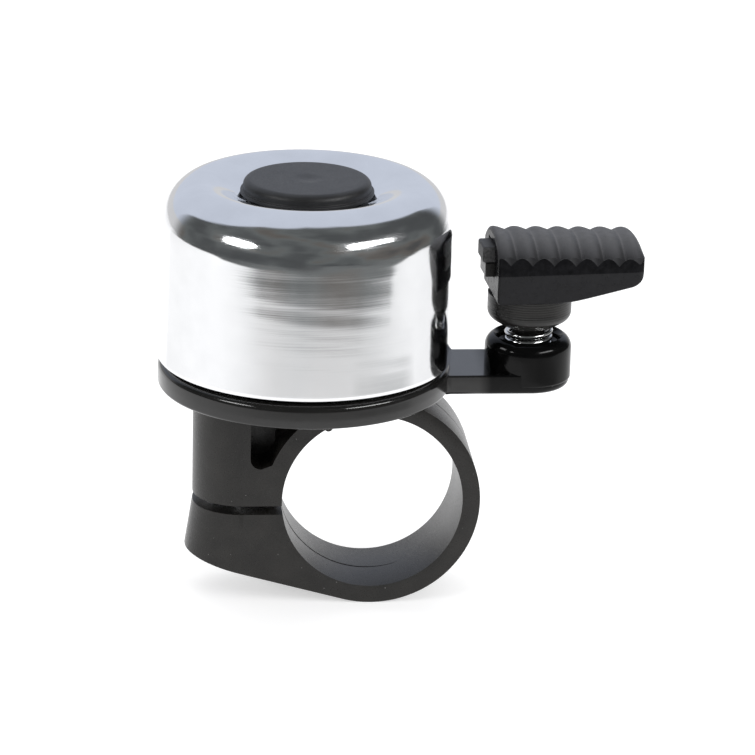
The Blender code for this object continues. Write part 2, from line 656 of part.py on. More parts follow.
def lever_box(name, left, right, half_width, low, high, finish=None):
    """A block in the lever's own frame, turned with the lever about the spring's axis."""
    return box(name, (left, -half_width, low), (right, half_width, high), finish, HAMMER_PLACE,
               (0.0, 0.0, TWIST))


def lever_wedge(name, left, right, half_width, lift, top):
    """A block whose underside keeps a height above the pad's own underside."""
    outline = [(left, pad_underside(left) + lift), (right, pad_underside(right) + lift),
               (right, top), (left, top)]
    return slab(name, outline, 2 * half_width, location=HAMMER_PLACE, twist=TWIST)


def thumb_pad():
    """Ribbed rubber cover, hollow for the hub's core, with a window for the striker."""
    pad = place(pad_mesh(), "thumb_pad", pad_black, HAMMER_PLACE, (0.0, 0.0, TWIST))
    left = PAD_LEFT + PAD_WALL
    right = PAD_LEFT + PAD_LENGTH - 2 * PAD_WALL
    rooms = [
        lever_wedge("core_room", left, right, CORE_HALF_WIDTH + GAP, PAD_WALL, CORE_TOP + GAP),
        lever_box("neck_room", -NECK_HALF_LENGTH - GAP, NECK_HALF_LENGTH + GAP, NECK_HALF_WIDTH + GAP,
                  PAD_BOTTOM - PAD_WALL, CORE_TOP),
        lever_box("striker_room", left + GAP, PAD_LEFT + STRIKER_LENGTH, STRIKER_HALF_WIDTH + GAP,
                  CORE_TOP - PAD_WALL, STRIKER_TOP + GAP),
        lever_box("striker_window", PAD_LEFT - STRIKER_REACH, left + 2 * GAP, STRIKER_HALF_WIDTH + 2 * GAP,
                  CORE_TOP - CORE_NOSE_HEIGHT - GAP, STRIKER_TOP + 1.5 * GAP)]
    for room in rooms:
        combine(pad, room, "DIFFERENCE")
    return pad


def hammer_hub():
    """Hub with the stud that the spring grips, and the core that the pad is pulled over."""
    straight = HUB_FOOT + HUB_TAPER
    stud_end = HUB_FOOT - HUB_STUD
    high = PAD_BOTTOM + PAD_RISE
    profile = [(0.0, high), (HUB_RADIUS, high), (HUB_RADIUS, straight), (HUB_FOOT_RADIUS, HUB_FOOT),
               (STUD_RADIUS, HUB_FOOT), (STUD_RADIUS, stud_end + GAP), (STUD_RADIUS - GAP, stud_end),
               (0.0, stud_end)]
    hub = turned("hammer_hub", profile, hub_black, HAMMER_AXIS_X, steps=36)
    combine(hub, lever_wedge("hub_top", -2 * HUB_RADIUS, 2 * HUB_RADIUS, 2 * HUB_RADIUS, -GAP, 2 * high),
            "DIFFERENCE")
    left = PAD_LEFT + PAD_WALL + GAP
    right = PAD_LEFT + PAD_LENGTH - 2 * PAD_WALL - GAP
    blocks = [
        lever_box("hub_neck", -NECK_HALF_LENGTH, NECK_HALF_LENGTH, NECK_HALF_WIDTH, HUB_TOP - PAD_WALL,
                  CORE_TOP - GAP),
        lever_wedge("hub_core", left, right, CORE_HALF_WIDTH, PAD_WALL + GAP, CORE_TOP),
        lever_box("hub_nose", PAD_LEFT - STRIKER_REACH + GAP, left + PAD_WALL, STRIKER_HALF_WIDTH,
                  CORE_TOP - CORE_NOSE_HEIGHT, CORE_TOP - 0.5 * GAP)]
    for block in blocks:
        combine(hub, block, "UNION")
    return hub


def striker():
    """Steel weight on the core's toe. Its end strikes the dome."""
    return lever_box("striker", PAD_LEFT - STRIKER_REACH, PAD_LEFT + STRIKER_LENGTH - GAP,
                     STRIKER_HALF_WIDTH, STRIKER_BOTTOM, STRIKER_TOP, striker_grey)


# ---------------------------------------------------------------------------
# Assembly
# ---------------------------------------------------------------------------

clamp_bracket()
clamp_strap()
turned("clamp_insert", ring_profile(SCREW_SHANK_RADIUS + GAP, INSERT_RADIUS, SPLIT_TOP + GAP,
                                    SPLIT_TOP + GAP + INSERT_LENGTH),
       brass, CLAMP_SCREW_X, closed=True, steps=SMALL_SEGMENTS)
flat_ring("clamp_washer", CLAMP_SCREW_X, SCREW_SHANK_RADIUS + GAP, WASHER_RADIUS,
          LUG_SEAT - GAP - WASHER_THICKNESS, WASHER_THICKNESS, zinc_steel)
pan_screw("clamp_screw", CLAMP_SCREW_X, LUG_SEAT - 2 * GAP - WASHER_THICKNESS, SCREW_HEAD_RADIUS,
          SCREW_HEAD_HEIGHT, CLAMP_SHANK_LENGTH, head_up=False)

base_plate()
turned("centre_insert", ring_profile(SCREW_SHANK_RADIUS + GAP, INSERT_RADIUS, CENTRE_INSERT_BOTTOM,
                                     CENTRE_INSERT_BOTTOM + INSERT_LENGTH),
       brass, DOME_AXIS_X, closed=True, steps=SMALL_SEGMENTS)
flat_ring("dome_isolator", DOME_AXIS_X, SCREW_SHANK_RADIUS + GAP, ISOLATOR_RADIUS,
          POST_TOP + GAP, ISOLATOR_THICKNESS, nylon)
dome()
flat_ring("dome_washer", DOME_AXIS_X, SCREW_SHANK_RADIUS + GAP, CENTRE_WASHER_RADIUS,
          WELL_FLOOR + GAP, WASHER_THICKNESS, zinc_steel)
pan_screw("dome_screw", DOME_AXIS_X, CENTRE_SEAT, CENTRE_HEAD_RADIUS, CENTRE_HEAD_HEIGHT,
          CENTRE_SEAT - CENTRE_INSERT_BOTTOM - GAP, head_up=True)
dome_cap()

helix("hammer_spring", HAMMER_AXIS_X, SPRING_RADIUS - WIRE_RADIUS, WIRE_RADIUS,
      SPRING_BOTTOM + WIRE_RADIUS, SPRING_TOP - WIRE_RADIUS, SPRING_TURNS, spring_steel)
hammer_hub()
striker()
thumb_pad()
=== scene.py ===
# %% [markdown]
# # A bicycle bell
# A small polished dome sits on a black moulded clamp, and a ribbed thumb lever on a spring rings it.
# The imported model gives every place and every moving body, so the pieces need no fitting. The cells
# below put fine surfaces and finishes around it. Sizes are in millimetres, because the bell is small,
# and become metres in the mesh.

# %% Load the frame
import json

import bmesh
import bpy
import numpy as np
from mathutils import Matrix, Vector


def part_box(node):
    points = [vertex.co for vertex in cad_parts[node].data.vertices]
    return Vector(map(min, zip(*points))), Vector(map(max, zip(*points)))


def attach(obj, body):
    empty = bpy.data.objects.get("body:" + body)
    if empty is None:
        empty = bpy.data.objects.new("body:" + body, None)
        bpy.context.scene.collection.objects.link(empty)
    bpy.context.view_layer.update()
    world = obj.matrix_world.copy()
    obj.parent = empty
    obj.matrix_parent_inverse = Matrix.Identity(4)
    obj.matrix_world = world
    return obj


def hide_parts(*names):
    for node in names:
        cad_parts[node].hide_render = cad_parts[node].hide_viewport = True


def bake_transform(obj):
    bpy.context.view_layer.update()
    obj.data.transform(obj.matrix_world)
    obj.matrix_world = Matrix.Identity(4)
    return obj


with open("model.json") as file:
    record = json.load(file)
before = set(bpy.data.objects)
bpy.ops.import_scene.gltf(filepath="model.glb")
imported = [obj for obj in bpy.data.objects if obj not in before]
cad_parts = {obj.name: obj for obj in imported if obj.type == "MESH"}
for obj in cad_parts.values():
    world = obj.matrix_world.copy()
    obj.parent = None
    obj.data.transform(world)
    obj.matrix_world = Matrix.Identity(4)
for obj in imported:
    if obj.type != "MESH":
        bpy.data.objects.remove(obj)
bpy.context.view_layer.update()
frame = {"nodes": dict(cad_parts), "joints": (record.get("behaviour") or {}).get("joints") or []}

MM = 0.001
TURN = 2 * np.pi


def node_box(node):
    """Lowest and highest corner of a node at rest, in millimetres."""
    low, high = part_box(node)
    return np.array(low) / MM, np.array(high) / MM


# %% [markdown]
# ## Places
# A few heights and axes decide where everything sits. They could be typed in, but they are read from
# the model's nodes instead, so this script follows the model when a size there changes.

# %% Read the places
dome_low, dome_high = node_box("dome")
cap_low, cap_high = node_box("dome_cap")
base_low, base_high = node_box("base_plate")
spring_low, spring_high = node_box("hammer_spring")
bracket_low, bracket_high = node_box("clamp_bracket")
striker_low, striker_high = node_box("striker")
screw_low, screw_high = node_box("clamp_screw")
hub_bottom = node_box("hammer_hub")[0][2]
pad_bottom = node_box("thumb_pad")[0][2]
insert_bottom = node_box("centre_insert")[0][2]
pivot = {joint["name"]: joint for joint in frame["joints"]}["hammer_tilt"]["pos_m"]

DOME_X = (dome_low[0] + dome_high[0]) / 2
SCREW_X = (screw_low[0] + screw_high[0]) / 2
HAMMER_X = pivot[0] / MM
PIVOT_Z = pivot[2] / MM
print("dome axis", round(DOME_X, 2), "hammer axis", round(HAMMER_X, 2), "clamp screw", round(SCREW_X, 2))

# %% [markdown]
# ## Camera
# The bell is seen from a little to the left and about nineteen degrees above. A long lens far away keeps
# the verticals almost parallel, as a product picture does. The camera could be turned by three angles,
# but its axes are worked out as vectors, which is easier to check: one points back from the bell, one is
# level, and both are rolled slightly about the line of sight.


# %% Camera
def direction(azimuth, rise):
    """Unit vector by azimuth from the front and rise above the level: (sin a cos e, -cos a cos e, sin e)."""
    return np.stack([np.sin(azimuth) * np.cos(rise), -np.cos(azimuth) * np.cos(rise), np.sin(rise)], -1)


def aim(thing, right, above, back, place):
    """Stand a camera or a lamp at a place in mm, so that it looks along minus back."""
    pose = np.eye(4)
    pose[:3, 0], pose[:3, 1], pose[:3, 2], pose[:3, 3] = right, above, back, place * MM
    thing.matrix_world = pose.T.tolist()


VIEW_TURN = np.radians(-5.249)
VIEW_RISE = np.radians(19.183)
VIEW_ROLL = np.radians(1.431)
VIEW_DISTANCE = 489.374
VIEW_TARGET = np.array([0.817, 0.0, 13.912])
LENS = 190.06

back = direction(VIEW_TURN, VIEW_RISE)
level = np.array([np.cos(VIEW_TURN), np.sin(VIEW_TURN), 0.0])
upward = np.cross(back, level)
across = level * np.cos(VIEW_ROLL) + upward * np.sin(VIEW_ROLL)
upright = upward * np.cos(VIEW_ROLL) - level * np.sin(VIEW_ROLL)

camera = bpy.data.objects.new("camera", bpy.data.cameras.new("camera"))
bpy.context.scene.collection.objects.link(camera)
camera.data.lens = LENS
camera.data.sensor_width = 36.0
camera.data.clip_start = 0.01
aim(camera, across, upright, back, VIEW_TARGET + VIEW_DISTANCE * back)
bpy.context.scene.camera = camera
print("camera at", np.round(np.array(camera.matrix_world)[:3, 3], 3).tolist())

# %% [markdown]
# ## Surfaces from arrays
# Almost every piece is a grid of points worked out with numpy. A turned piece is a profile carried
# round an axis, a wire is a circle carried along a helix, and a moulded block is a stack of outlines.
# The same shapes could be modelled by hand from primitives, but a formula gives every point at once and
# can be changed by one number. One helper turns any grid into a mesh: rows and columns become quads,
# seams are welded, and the faces are made to point outwards.


# %% Grid to mesh
def grid_mesh(name, grid, wrap_rows=False, wrap_columns=False, ends=False):
    """Quads on a grid of points of shape (rows, columns, 3); ends closes the first and last row."""
    rows, columns = grid.shape[:2]
    row, column = np.arange(rows - (not wrap_rows)), np.arange(columns - (not wrap_columns))
    a, b = np.meshgrid(row, column, indexing="ij")
    here, below = a * columns, (a + 1) % rows * columns
    b_next = (b + 1) % columns
    faces = np.stack([here + b, below + b, below + b_next, here + b_next], -1).reshape(-1, 4).tolist()
    if ends:
        faces += [np.arange(columns)[::-1].tolist(), (np.arange(columns) + (rows - 1) * columns).tolist()]
    mesh = bpy.data.meshes.new(name)
    mesh.from_pydata((grid.reshape(-1, 3) * MM).tolist(), [], faces)
    return mesh


def put(name, mesh):
    """An object at the origin that shows a mesh."""
    made = bpy.data.objects.new(name, mesh)
    bpy.context.scene.collection.objects.link(made)
    return made


def surface(name, grid, **closed):
    """An object made of a grid, with points that coincide merged and the faces turned outwards."""
    mesh = grid_mesh(name, grid, **closed)
    work = bmesh.new()
    work.from_mesh(mesh)
    bmesh.ops.remove_doubles(work, verts=work.verts, dist=1e-7)
    bmesh.ops.recalc_face_normals(work, faces=work.faces)
    work.to_mesh(mesh)
    work.free()
    return put(name, mesh)


def turned(name, profile, axis_x, segments=256):
    """A closed profile of (radius, height) carried round a vertical axis: x = r cos t, y = r sin t, z = h."""
    angle = np.arange(segments) * TURN / segments
    radius, height = np.asarray(profile)[:, 0, None], np.asarray(profile)[:, 1, None]
    grid = np.stack([axis_x + radius * np.cos(angle), radius * np.sin(angle), height + 0 * angle], -1)
    return surface(name, grid, wrap_rows=True, wrap_columns=True)


def read(items, attribute):
    """A three-part attribute of every vertex or face, as one array with a row for each."""
    values = np.empty(len(items) * 3, np.float32)
    items.foreach_get(attribute, values)
    return values.reshape(-1, 3)


# %% [markdown]
# Real edges are never sharp, because a tool with a sharp corner wears and a part with one chips. A bevel
# modifier could round them later, but a turned profile is better rounded before it is turned. `fillet`
# replaces the corners of a polyline by arcs that touch both sides, and `densify` adds points along long
# stretches so that the quads stay close to square.


# %% Rounded outlines
def fillet(corners, radii, steps=8):
    """Closed polyline with its corners rounded: centre on the bisector at r / sin(half angle)."""
    corners = np.array(corners, float)
    pieces = []
    for before, corner, after, radius in zip(np.roll(corners, 1, 0), corners, np.roll(corners, -1, 0), radii):
        if radius == 0:
            pieces.append(corner[None])
            continue
        a = (before - corner) / np.linalg.norm(before - corner)
        b = (after - corner) / np.linalg.norm(after - corner)
        half = 0.5 * np.arccos(np.clip(a @ b, -1, 1))
        centre = corner + (a + b) / np.linalg.norm(a + b) * radius / np.sin(half)
        start = corner + a * radius / np.tan(half) - centre
        end = corner + b * radius / np.tan(half) - centre
        sweep = np.pi - 2 * half
        t = np.linspace(0, sweep, steps + 1)[:, None]
        pieces.append(centre + (np.sin(sweep - t) * start + np.sin(t) * end) / np.sin(sweep))
    return np.concatenate(pieces)


def densify(path, step):
    """Closed polyline with extra points, so that no stretch is longer than a step."""
    loop = np.concatenate([path, path[:1]])
    length = np.concatenate([[0.0], np.cumsum(np.linalg.norm(np.diff(loop, axis=0), axis=1))])
    gaps = np.maximum(1, np.ceil(np.diff(length) / step)).astype(int)
    where = np.concatenate([np.linspace(a, b, n, endpoint=False) for a, b, n in zip(length, length[1:], gaps)])
    return np.stack([np.interp(where, length, loop[:, k]) for k in range(loop.shape[1])], -1)


def arc(centre_x, centre_z, radius, start, end, steps):
    """Points of an arc, angles in degrees."""
    angle = np.radians(np.linspace(start, end, steps + 1))
    return np.stack([centre_x + radius * np.cos(angle), centre_z + radius * np.sin(angle)], -1)


# %% [markdown]
# Some mouldings are a union of simple forms with holes cut in them, as their tool was. Modelling such a
# form as one grid would be hard, so Booleans join and cut it. `combine` stacks Boolean modifiers,
# `round_edges` adds a bevel, and `bake` applies the stack and removes the helpers.


# %% Boolean helpers
def combine(target, other, operation):
    """Join or cut with another closed object, which is hidden until it is removed."""
    step = target.modifiers.new(other.name, "BOOLEAN")
    step.operation = operation
    step.solver = "EXACT"
    step.object = other
    other.hide_render = True


def round_edges(target, width, segments=3, angle=38.0):
    """Bevel every edge sharper than an angle."""
    step = target.modifiers.new("edge", "BEVEL")
    step.width = width * MM
    step.segments = segments
    step.limit_method = "ANGLE"
    step.angle_limit = np.radians(angle)
    step.miter_outer = "MITER_ARC"


def shade(target, sharp=38.0):
    """Smooth shading that keeps real edges, with normals that follow the larger faces."""
    target.data.shade_smooth()
    target.data.set_sharp_from_angle(angle=np.radians(sharp))
    normals = target.modifiers.new("normals", "WEIGHTED_NORMAL")
    normals.keep_sharp = True
    print(f"{target.name}: {len(target.data.polygons)} faces")


def bake(target, sharp=38.0):
    """Apply the stack, remove the helper objects and shade smooth up to an angle."""
    helpers = [step.object for step in target.modifiers if step.type == "BOOLEAN"]
    graph = bpy.context.evaluated_depsgraph_get()
    mesh = bpy.data.meshes.new_from_object(target.evaluated_get(graph))
    target.modifiers.clear()
    target.data = mesh
    for helper in helpers:
        bpy.data.objects.remove(helper)
    shade(target, sharp)


def stand_for(piece, material, body, node):
    """The piece wears a material, rides on a body and stands for a CAD node."""
    piece.data.materials.append(material)
    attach(piece, body)
    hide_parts(node)


# %% [markdown]
# ## Finishes
# No real surface has one flat colour. Each finish starts from a Principled shader, and small noise in
# object space varies its colour and roughness and raises a fine relief, at the scale that the real
# surface has. An image could do the same, but noise has no seams, needs no unwrapping and stays sharp
# however close the camera comes.


# %% Node helpers
def finish(name, metallic=0.0, specular=0.5):
    """A new material with its node tree and shader."""
    made = bpy.data.materials.new(name)
    made.use_nodes = True
    shader = made.node_tree.nodes["Principled BSDF"]
    shader.inputs["Metallic"].default_value = metallic
    shader.inputs["Specular IOR Level"].default_value = specular
    return made, made.node_tree, shader


def place_of(tree, stretch=(1.0, 1.0, 1.0), centre=(0.0, 0.0, 0.0)):
    """Object coordinates, moved to a centre in mm and stretched."""
    coordinates = tree.nodes.new("ShaderNodeTexCoord")
    mapping = tree.nodes.new("ShaderNodeMapping")
    mapping.inputs["Scale"].default_value = stretch
    mapping.inputs["Location"].default_value = [-c * MM * s for c, s in zip(centre, stretch)]
    tree.links.new(coordinates.outputs["Object"], mapping.inputs["Vector"])
    return mapping.outputs["Vector"]


def split_axes(tree, place):
    """The three parts of a place, by name."""
    made = tree.nodes.new("ShaderNodeSeparateXYZ")
    tree.links.new(place, made.inputs["Vector"])
    return made.outputs


def stored(tree, name):
    """A value that the mesh carries in an attribute."""
    made = tree.nodes.new("ShaderNodeAttribute")
    made.attribute_name = name
    return made.outputs["Fac"]


def noise(tree, size, where=None, detail=3.0, rough=0.5):
    """Noise whose features are about size mm across."""
    made = tree.nodes.new("ShaderNodeTexNoise")
    made.inputs["Scale"].default_value = 1.0 / (size * MM)
    made.inputs["Detail"].default_value = detail
    made.inputs["Roughness"].default_value = rough
    tree.links.new(where or place_of(tree), made.inputs["Vector"])
    return made.outputs["Fac"]


def spread(tree, value, low, high, start=0.3, stop=0.7):
    """Map a value from start..stop to low..high."""
    made = tree.nodes.new("ShaderNodeMapRange")
    for socket, number in (("From Min", start), ("From Max", stop), ("To Min", low), ("To Max", high)):
        made.inputs[socket].default_value = number
    tree.links.new(value, made.inputs["Value"])
    return made.outputs["Result"]


def tint(tree, value, dark, light, clamp=True):
    """A colour between dark and light, by a value from 0 to 1; dark may be another node's output."""
    made = tree.nodes.new("ShaderNodeMix")
    made.data_type = "RGBA"
    made.clamp_factor = clamp
    if isinstance(dark, tuple):
        made.inputs["A"].default_value = (*dark, 1.0)
    else:
        tree.links.new(dark, made.inputs["A"])
    made.inputs["B"].default_value = (*light, 1.0)
    tree.links.new(value, made.inputs["Factor"])
    return made.outputs["Result"]


def combined(tree, a, b, operation="ADD"):
    """Two values put together by a Math node's operation; either may be a plain number."""
    made = tree.nodes.new("ShaderNodeMath")
    made.operation = operation
    for socket, value in zip(made.inputs, (a, b)):
        if isinstance(value, float):
            socket.default_value = value
        else:
            tree.links.new(value, socket)
    return made.outputs["Value"]


def relief(tree, shader, value, height):
    """Raise a value as relief, height in mm."""
    made = tree.nodes.new("ShaderNodeBump")
    made.inputs["Strength"].default_value = 1.0
    made.inputs["Distance"].default_value = height * MM
    tree.links.new(value, made.inputs["Height"])
    tree.links.new(made.outputs["Normal"], shader.inputs["Normal"])


def paint(tree, shader, colour, roughness):
    """Link a colour and a roughness."""
    tree.links.new(colour, shader.inputs["Base Color"])
    tree.links.new(roughness, shader.inputs["Roughness"])


# %% [markdown]
# The dome's aluminium is polished on a lathe, so its faint lines run round the axis. An anisotropic
# shader could suggest them, but real lines catch the light one by one. So the angle and the radius about
# the axis are worked out from the object coordinates, and the noise is stretched along the angle.


# %% Polished aluminium
def round_axis(tree, centre, along=0.6, across_lines=14.0):
    """Coordinates (angle, radius, height) about a vertical axis, for lines that run round it."""
    place = split_axes(tree, place_of(tree, centre=centre))
    angle = combined(tree, place["Y"], place["X"], "ARCTAN2")
    x_squared = combined(tree, place["X"], place["X"], "MULTIPLY")
    y_squared = combined(tree, place["Y"], place["Y"], "MULTIPLY")
    radius = combined(tree, combined(tree, x_squared, y_squared), 0.5, "POWER")
    join = tree.nodes.new("ShaderNodeCombineXYZ")
    tree.links.new(combined(tree, angle, along * MM, "MULTIPLY"), join.inputs["X"])
    tree.links.new(combined(tree, radius, across_lines, "MULTIPLY"), join.inputs["Y"])
    tree.links.new(combined(tree, place["Z"], across_lines, "MULTIPLY"), join.inputs["Z"])
    return join.outputs["Vector"]


aluminium, tree, shader = finish("polished_aluminium", metallic=1.0)
lines = noise(tree, 1.2, round_axis(tree, (DOME_X, 0.0, 0.0), 0.6, 5.0), detail=5.0, rough=0.65)
clouds = noise(tree, 4.0)
paint(tree, shader, tint(tree, spread(tree, clouds, 0.0, 1.0), (0.77, 0.775, 0.785), (0.82, 0.825, 0.835)),
      combined(tree, spread(tree, lines, 0.045, 0.11), spread(tree, clouds, 0.0, 0.03)))
relief(tree, shader, lines, 0.0025)
print("metal:", aluminium.name)

# %% [markdown]
# The black pieces come from different tools, so one black won't do for all. The base is moulded in a
# polished tool: it is glossy, and painted darker and less glossy round the boss, as painted shade for the
# boss's shadow and dark reflection. A few specks of dust sit on it, made by Voronoi cells of which only
# the very middle counts. The clamp's tool was spark-eroded, which leaves a fine matt grain, and it has
# picked up more dust.


# %% Glossy and matt black
def specks(tree, size, share):
    """Small scattered spots: 1 inside a spot, 0 outside; share is the spot's radius in cells."""
    cells = tree.nodes.new("ShaderNodeTexVoronoi")
    cells.inputs["Scale"].default_value = 1.0 / (size * MM)
    tree.links.new(place_of(tree), cells.inputs["Vector"])
    return spread(tree, cells.outputs["Distance"], 1.0, 0.0, share * 0.6, share)


gloss_black, tree, shader = finish("gloss_black")
grain = noise(tree, 1.4, detail=4.0)
arm_end, boss_start = (HAMMER_X - 6.5) * MM, (HAMMER_X - 5.0) * MM
# Painted shade: colour and specular level fall towards the boss, standing in for the boss's shadow and dark
# reflection on the arm.
boss_shade = spread(tree, split_axes(tree, place_of(tree))["X"], 0.0, 1.0, arm_end, boss_start)
tree.links.new(combined(tree, combined(tree, boss_shade, -0.34, "MULTIPLY"), 0.5),
               shader.inputs["Specular IOR Level"])
plastic = tint(tree, boss_shade, (0.0075, 0.0072, 0.0068), (0.0015, 0.0015, 0.0015))
paint(tree, shader, tint(tree, specks(tree, 2.6, 0.035), plastic, (0.05, 0.05, 0.05)),
      spread(tree, grain, 0.08, 0.18))
relief(tree, shader, grain, 0.004)

matt_black, tree, shader = finish("matt_black", specular=0.34)
spark = noise(tree, 0.16, detail=5.0, rough=0.6)
patches = noise(tree, 3.0)
plastic = tint(tree, spread(tree, patches, 0.0, 1.0), (0.008, 0.0073, 0.0064), (0.015, 0.0138, 0.0122))
paint(tree, shader, tint(tree, specks(tree, 1.25, 0.06), plastic, (0.16, 0.155, 0.15)),
      spread(tree, spark, 0.24, 0.38))
relief(tree, shader, spark, 0.024)
print("black mouldings:", gloss_black.name, matt_black.name)

# %% [markdown]
# The cap has a fine even grain, and the hub was turned, so its lines run round the hammer's axis like
# the dome's. The rubber pad is worn grey where the thumb rubs it and stays nearly black below, and its
# crown also carries painted light: it is painted paler where it faces up, with a painted highlight along
# each valley and painted shade in the lee of each rib. Neither can be told from the coordinates alone,
# so the pad's mesh carries both as an attribute named `zone`, which lifts the colour, the gloss and the
# roughness together.

# %% Cap, hub and rubber
cap_black, tree, shader = finish("cap_black", specular=0.4)
spark = noise(tree, 0.12, detail=4.0)
shades = spread(tree, noise(tree, 2.0), 0.0, 1.0)
paint(tree, shader, tint(tree, shades, (0.014, 0.014, 0.0145), (0.022, 0.022, 0.0225)),
      spread(tree, spark, 0.36, 0.52))
relief(tree, shader, spark, 0.008)

hub_black, tree, shader = finish("hub_black", specular=0.36)
lines = noise(tree, 2.0, round_axis(tree, (HAMMER_X, 0.0, 0.0), along=0.8), detail=4.0)
paint(tree, shader, tint(tree, spread(tree, lines, 0.0, 1.0), (0.007, 0.0067, 0.0062), (0.017, 0.016, 0.015)),
      spread(tree, lines, 0.24, 0.42))
relief(tree, shader, lines, 0.006)

pad_black, tree, shader = finish("pad_black", specular=0.32)
mottle = noise(tree, 0.9, detail=5.0, rough=0.62)
fine = noise(tree, 0.18, detail=3.0)
# zone holds wear and painted light together: a paler crown where it faces up, painted highlights along the
# valleys and painted shade in their lee.
zone = stored(tree, "zone")
fresh = tint(tree, spread(tree, mottle, 0.0, 1.0), (0.004, 0.004, 0.0045), (0.009, 0.009, 0.010))
tree.links.new(combined(tree, combined(tree, zone, 0.22, "MULTIPLY"), 0.04),
               shader.inputs["Specular IOR Level"])
uneven = combined(tree, spread(tree, mottle, 0.16, 0.30), spread(tree, fine, 0.0, 0.06))
paint(tree, shader, tint(tree, zone, fresh, (0.034, 0.034, 0.036), clamp=False),
      combined(tree, uneven, combined(tree, zone, 0.16, "MULTIPLY")))
relief(tree, shader, combined(tree, mottle, combined(tree, fine, 0.3, "MULTIPLY")), 0.018)
print("black finishes:", cap_black.name, hub_black.name, pad_black.name)

# %% [markdown]
# The small metal pieces are mostly out of sight, but each has its own finish: zinc-plated steel,
# drawn spring wire, turned brass, a rough grey striker, and the nylon ring under the dome. They differ
# only in numbers, so one function makes them all. The hidden ones keep the model's own meshes.


# %% Metals and nylon
def metal(name, dark, light, low, high, size, height, metallic=1.0):
    """A finish whose colour and roughness (low to high) vary with one noise, which is also its relief."""
    made, tree, shader = finish(name, metallic=metallic)
    grain = noise(tree, size, detail=4.0)
    paint(tree, shader, tint(tree, spread(tree, grain, 0.0, 1.0), dark, light), spread(tree, grain, low, high))
    relief(tree, shader, grain, height)
    return made


zinc = metal("zinc_steel", (0.50, 0.51, 0.52), (0.64, 0.65, 0.67), 0.22, 0.38, 0.5, 0.004)
wire_steel = metal("spring_steel", (0.60, 0.60, 0.60), (0.74, 0.74, 0.74), 0.10, 0.20, 0.4, 0.002)
brass = metal("brass", (0.62, 0.46, 0.20), (0.74, 0.57, 0.30), 0.22, 0.36, 0.5, 0.004)
striker_grey = metal("striker_steel", (0.035, 0.035, 0.036), (0.10, 0.10, 0.10), 0.45, 0.7, 0.22, 0.03, 0.5)
nylon = metal("nylon", (0.68, 0.67, 0.63), (0.78, 0.77, 0.73), 0.40, 0.55, 0.8, 0.004, 0.0)
hidden = {"clamp_insert": brass, "centre_insert": brass, "dome_isolator": nylon, "dome_washer": zinc,
          "dome_screw": zinc, "clamp_washer": zinc, "clamp_screw": zinc}
for node, used in hidden.items():
    frame["nodes"][node].data.materials.clear()
    frame["nodes"][node].data.materials.append(used)
print("small pieces:", ", ".join(f"{node} in {used.name}" for node, used in hidden.items()))

# %% [markdown]
# ## Dome
# The dome is spun aluminium, 0.9 mm thick. From the open edge its wall rises almost straight, rolls
# over an elliptical shoulder, and sinks gently towards the cap, where a well takes the screw's head.
# A Solidify modifier could thicken a single skin, but then the well's corners would be pinched. So the
# whole section, outside and inside, is one closed profile turned about the axis.

# %% Dome
WALL = 0.9
DRAFT = 0.1
SHOULDER = np.array([4.6, 6.0])
DISH_DEPTH, DISH_RADIUS = 1.5, 8.6
WELL_DEPTH, WELL_RADIUS, WELL_STEP = 3.0, 7.4, 0.3
HOLE_RADIUS = 2.2
INNER_CORNER, LIP_CORNER, OUTER_CORNER = 0.25, 0.3, 0.4
dome_radius = (dome_high[0] - dome_low[0]) / 2
crest, edge = dome_high[2], dome_low[2]
dish_floor = crest - DISH_DEPTH
well_floor = dish_floor - WELL_DEPTH
shoulder_centre = np.array([dome_radius - DRAFT, crest]) - SHOULDER


def dome_skin(inset):
    """Dish (a sine), shoulder (an ellipse) and side, from the dish's start to the open edge."""
    share = np.linspace(0.0, 1.0, 24)[:-1]
    dish = np.stack([DISH_RADIUS + share * (shoulder_centre[0] - DISH_RADIUS),
                     dish_floor + DISH_DEPTH * np.sin(share * np.pi / 2) - inset], -1)
    angle = np.radians(np.linspace(90.0, 0.0, 48))[:, None]
    shoulder = shoulder_centre + (SHOULDER - inset) * np.concatenate([np.cos(angle), np.sin(angle)], 1)
    side = np.array([[dome_radius - inset, edge]])
    return np.concatenate([dish, shoulder, side])


outer = dome_skin(0.0)
inner = dome_skin(WALL)[::-1]
well = [[HOLE_RADIUS, well_floor], [WELL_RADIUS, well_floor], [WELL_RADIUS, dish_floor - WELL_STEP]]
under = [[WELL_RADIUS + WALL, dish_floor - WALL - WELL_STEP], [WELL_RADIUS + WALL, well_floor - WALL],
         [HOLE_RADIUS, well_floor - WALL]]
corners = np.concatenate([well, outer, inner, under])
radii = np.zeros(len(corners))
radii[1:3] = INNER_CORNER
radii[[2 + len(outer), 3 + len(outer)]] = LIP_CORNER
radii[-3:-1] = OUTER_CORNER
dome = turned("dome_shell", densify(fillet(corners, radii, 6), 0.55), DOME_X)
print("dome radius", round(dome_radius, 2), "height", round(crest - edge, 2))

# %% [markdown]
# Pressing leaves the wall very slightly wavy, which is what breaks up the edges of its reflections.
# A bump map would fake it, but then the outline and the reflections wouldn't agree. The waves are a few
# thousandths of a millimetre high: a sum of sines in the angle and the height moves the points.

# %% Waves in the dome's wall
WAVE_HEIGHT, WAVE_FADE = 0.0035, 3.0
WAVES = [(3, 1.9, 0.4), (5, 3.1, 2.0), (8, 4.7, 4.1), (13, 6.3, 1.2)]


